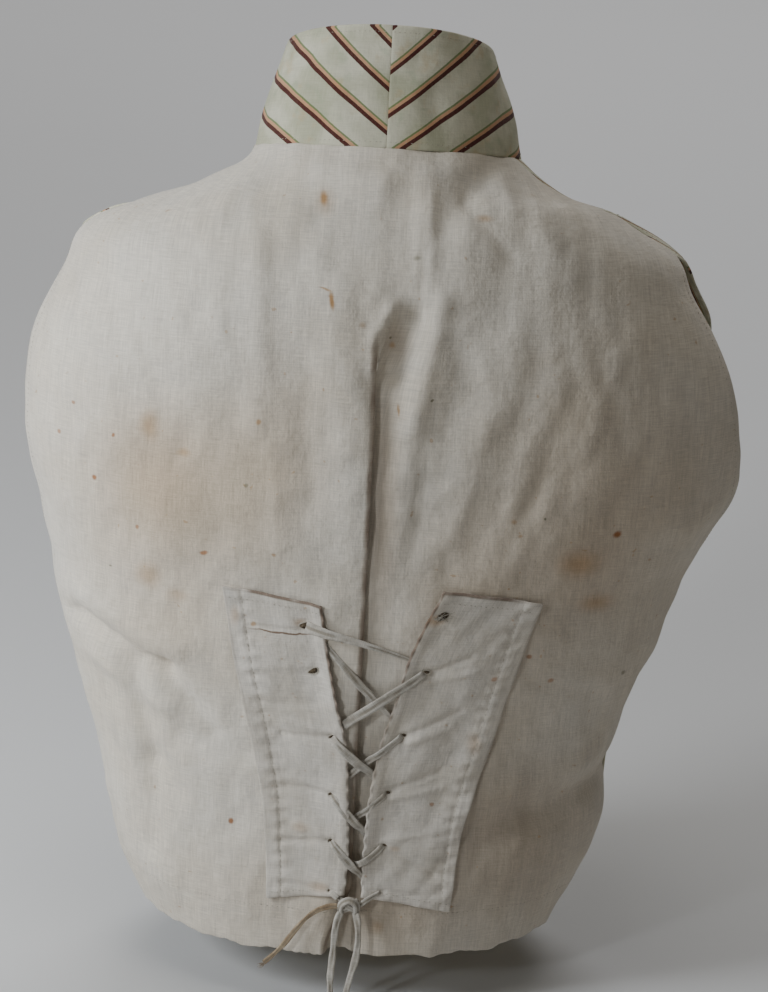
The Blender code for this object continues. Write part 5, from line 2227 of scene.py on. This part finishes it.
    def knot(self, tape: Material) -> None:
        """Ties the knot: one turn of the lace folded down over a crosswise turn.

        Args:
            tape: Its finish.
        """
        x, height = np.array((self.knot_place[0],)), np.array((self.knot_place[1],))
        centre = self.form.lifted(self.form.back_angles(x, height), height, np.array((self.knot_lift,)))[0]
        turns = (
            ((-4.2, 1.2, -4.6), (-4.6, -0.6, -1.6), (-3.4, -1.8, 2.0), (0.2, -2.3, 3.9), (3.6, -1.8, 2.1),
             (4.6, -0.6, -1.4), (4.0, 1.0, -4.6)),
            ((-5.0, 1.6, 3.6), (-3.2, -0.2, 2.2), (0.0, -1.2, -0.4), (3.2, -0.4, -2.2), (4.6, 1.4, -3.4)),
            ((5.0, 1.8, 2.6), (3.0, 0.2, 0.8), (0.0, -0.4, -1.6), (-3.2, 0.6, -3.4)),
        )
        parts = MeshParts()
        for turn, width, groove in zip(turns, (4.2, 3.2, 3.2), (0.6, 0.35, 0.35)):
            line = even_points(centre + np.array(turn), 0.7)
            outward = unit(line - centre + np.array((0.0, -3.0, 0.0)))
            widths = np.full(len(line), width)
            Strand(line, outward, widths, widths * 0.62, groove).add_to(parts)
        made = parts.build("lace_knot_turns", tape, "lace_tape")
        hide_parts("lace_knot")

    def build(self, tape: Material) -> None:
        """Laces the panels together.

        Args:
            tape: The lace's finish.
        """
        for crossing in CROSSINGS:
            parts = MeshParts()
            self.strand(crossing).add_to(parts)
            made = parts.build(f"{crossing.name}_tape", tape, "lace_tape")
            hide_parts(crossing.name)
        self.knot(tape)
        LOG.info("lace: %d crossings and a knot", len(CROSSINGS))


@dataclass
class Buttons:
    """Cloth-covered buttons in worked buttonholes down the front."""

    front: FrontPiece
    heights: tuple[float, ...] = (22, 72, 122, 172, 222, 270, 316, 358)
    clear: float = 0.35
    sides: int = 40
    # Profile of a button: radius, height over the cloth
    profile: tuple[tuple[float, float], ...] = (
        (4.0, 0.0), (6.3, 0.15), (6.9, 0.7), (7.0, 1.1), (6.75, 1.7), (6.2, 2.2), (5.2, 2.7), (3.9, 3.1),
        (2.5, 3.32), (1.1, 3.42),
    )
    hole_start: float = -15.0
    hole_end: float = -5.5
    hole_half: float = 0.9
    gather: float = 0.012
    gathered_from: float = 6.0

    def add_button(self, index: int, height: float, cloth: Material) -> None:
        """Turns one button and gathers its cover under the rim.

        Args:
            index: Its number, from the hem up.
            height: Its height over the hem.
            cloth: Its cover.
        """
        places, normals = self.front.surface(np.array((0.0,)), np.array((float(height),)), self.clear)
        normal = normals[0]
        side = unit(np.cross(UPWARDS, normal))
        upward = np.cross(normal, side)
        turns = 2 * math.pi * np.arange(self.sides) / self.sides
        spokes = np.cos(turns)[:, None] * side + np.sin(turns)[:, None] * upward
        rings = []
        for radius, lift in self.profile:
            gathers = 1 + self.gather * np.sin(10 * turns + index) * (radius > self.gathered_from)
            rings.append(places[0] + lift * normal + radius * gathers[:, None] * spokes)
        faces = [(face[0], *face[:0:-1]) for face in tube_faces(len(rings), self.sides)]
        parts = MeshParts()
        parts.add(to_world(np.concatenate(rings)), faces)
        made = parts.build(f"button_{index}_cover", cloth, "covered_button")
        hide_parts(f"button_{index}")

    def add_buttonholes(self, thread: Material) -> None:
        """Works a buttonhole beside each button.

        Args:
            thread: The thread.
        """
        parts = MeshParts()
        turns = np.linspace(0.0, 2 * math.pi, 61)
        middle = (self.hole_start + self.hole_end) / 2
        half = (self.hole_end - self.hole_start) / 2
        for height in self.heights:
            x = middle + half * np.sign(np.cos(turns)) * np.abs(np.cos(turns)) ** 0.4
            up = height + self.hole_half * np.sign(np.sin(turns)) * np.abs(np.sin(turns)) ** 0.6
            places, normals = self.front.surface(x, up, 0.15)
            widths = 0.8 * (1 + 0.2 * np.sin(29 * turns))
            Strand(places, normals, widths, widths * 0.7, sides=8, squareness=1.0).add_to(parts)
        parts.build("buttonholes", thread, "striped_cotton")

    def build(self, cloth: Material, thread: Material) -> None:
        """Makes every button and its buttonhole.

        Args:
            cloth: The buttons' cover.
            thread: The thread of the buttonholes.
        """
        for index, height in enumerate(self.heights, start=1):
            self.add_button(index, height, cloth)
        self.add_buttonholes(thread)
        LOG.info("buttons: %d", len(self.heights))


def main() -> None:
    """Builds the view, the studio and the waistcoat, piece by piece."""
    logging.basicConfig(level=logging.INFO, format="%(name)s: %(message)s")
    form = GarmentForm()
    panels = {
        Side.LEFT: LacingPanel(form, Side.LEFT, LEFT_PANEL, 0.83, 0.83, 1.7, LEFT_EYELETS),
        Side.RIGHT: LacingPanel(form, Side.RIGHT, RIGHT_PANEL, 0.90, 0.83, 1.9, RIGHT_EYELETS),
    }
    lacing = Lacing(form, panels)
    tape = LaceTape("cotton_tape").make()
    soiled = LaceTape("soiled_tape", (0.42, 0.33, 0.22), (0.20, 0.13, 0.07), 0.8).make()
    PhotoView().place()
    lacing.build_cords(tape, soiled)
    lowest = min(height for _, height, _ in LOOP_ROUTE) - lacing.cord_width
    Studio((lowest - ORIGIN_HEIGHT) * MM).build()
    cotton = PlainCotton("aged_cotton_with_painted_shade", marks=BACK_MARKS, fold_soil_and_shade=0.62).make()
    panel_cotton = PlainCotton(
        "worn_panel_cotton_with_painted_shade", (0.645, 0.60, 0.53), (0.53, 0.475, 0.385), PANEL_MARKS, 30.0, 0.78
    ).make()
    bias = StripedCotton("bias_striped_cotton", StripeLay.BIAS).make()
    lengthwise = StripedCotton("lengthwise_striped_cotton", StripeLay.LENGTHWISE).make()
    cover = PlainCotton("button_cotton", (0.62, 0.60, 0.52), (0.52, 0.49, 0.39), mottle=60.0).make()
    thread = SewingThread("linen_thread").make()
    shade = EyeletShade("eyelet_shade").make()
    BackPiece(form).build(cotton, thread)
    fronts = {side: FrontPiece(form, side) for side in Side}
    for front in fronts.values():
        front.build(lengthwise, thread)
    Collar(form).build(bias, thread)
    for panel in panels.values():
        panel.build(panel_cotton, thread, shade)
    lacing.build(tape)
    lacing.fray(soiled)
    Buttons(fronts[Side.LEFT]).build(cover, thread)


if __name__ == "__main__":
    main()
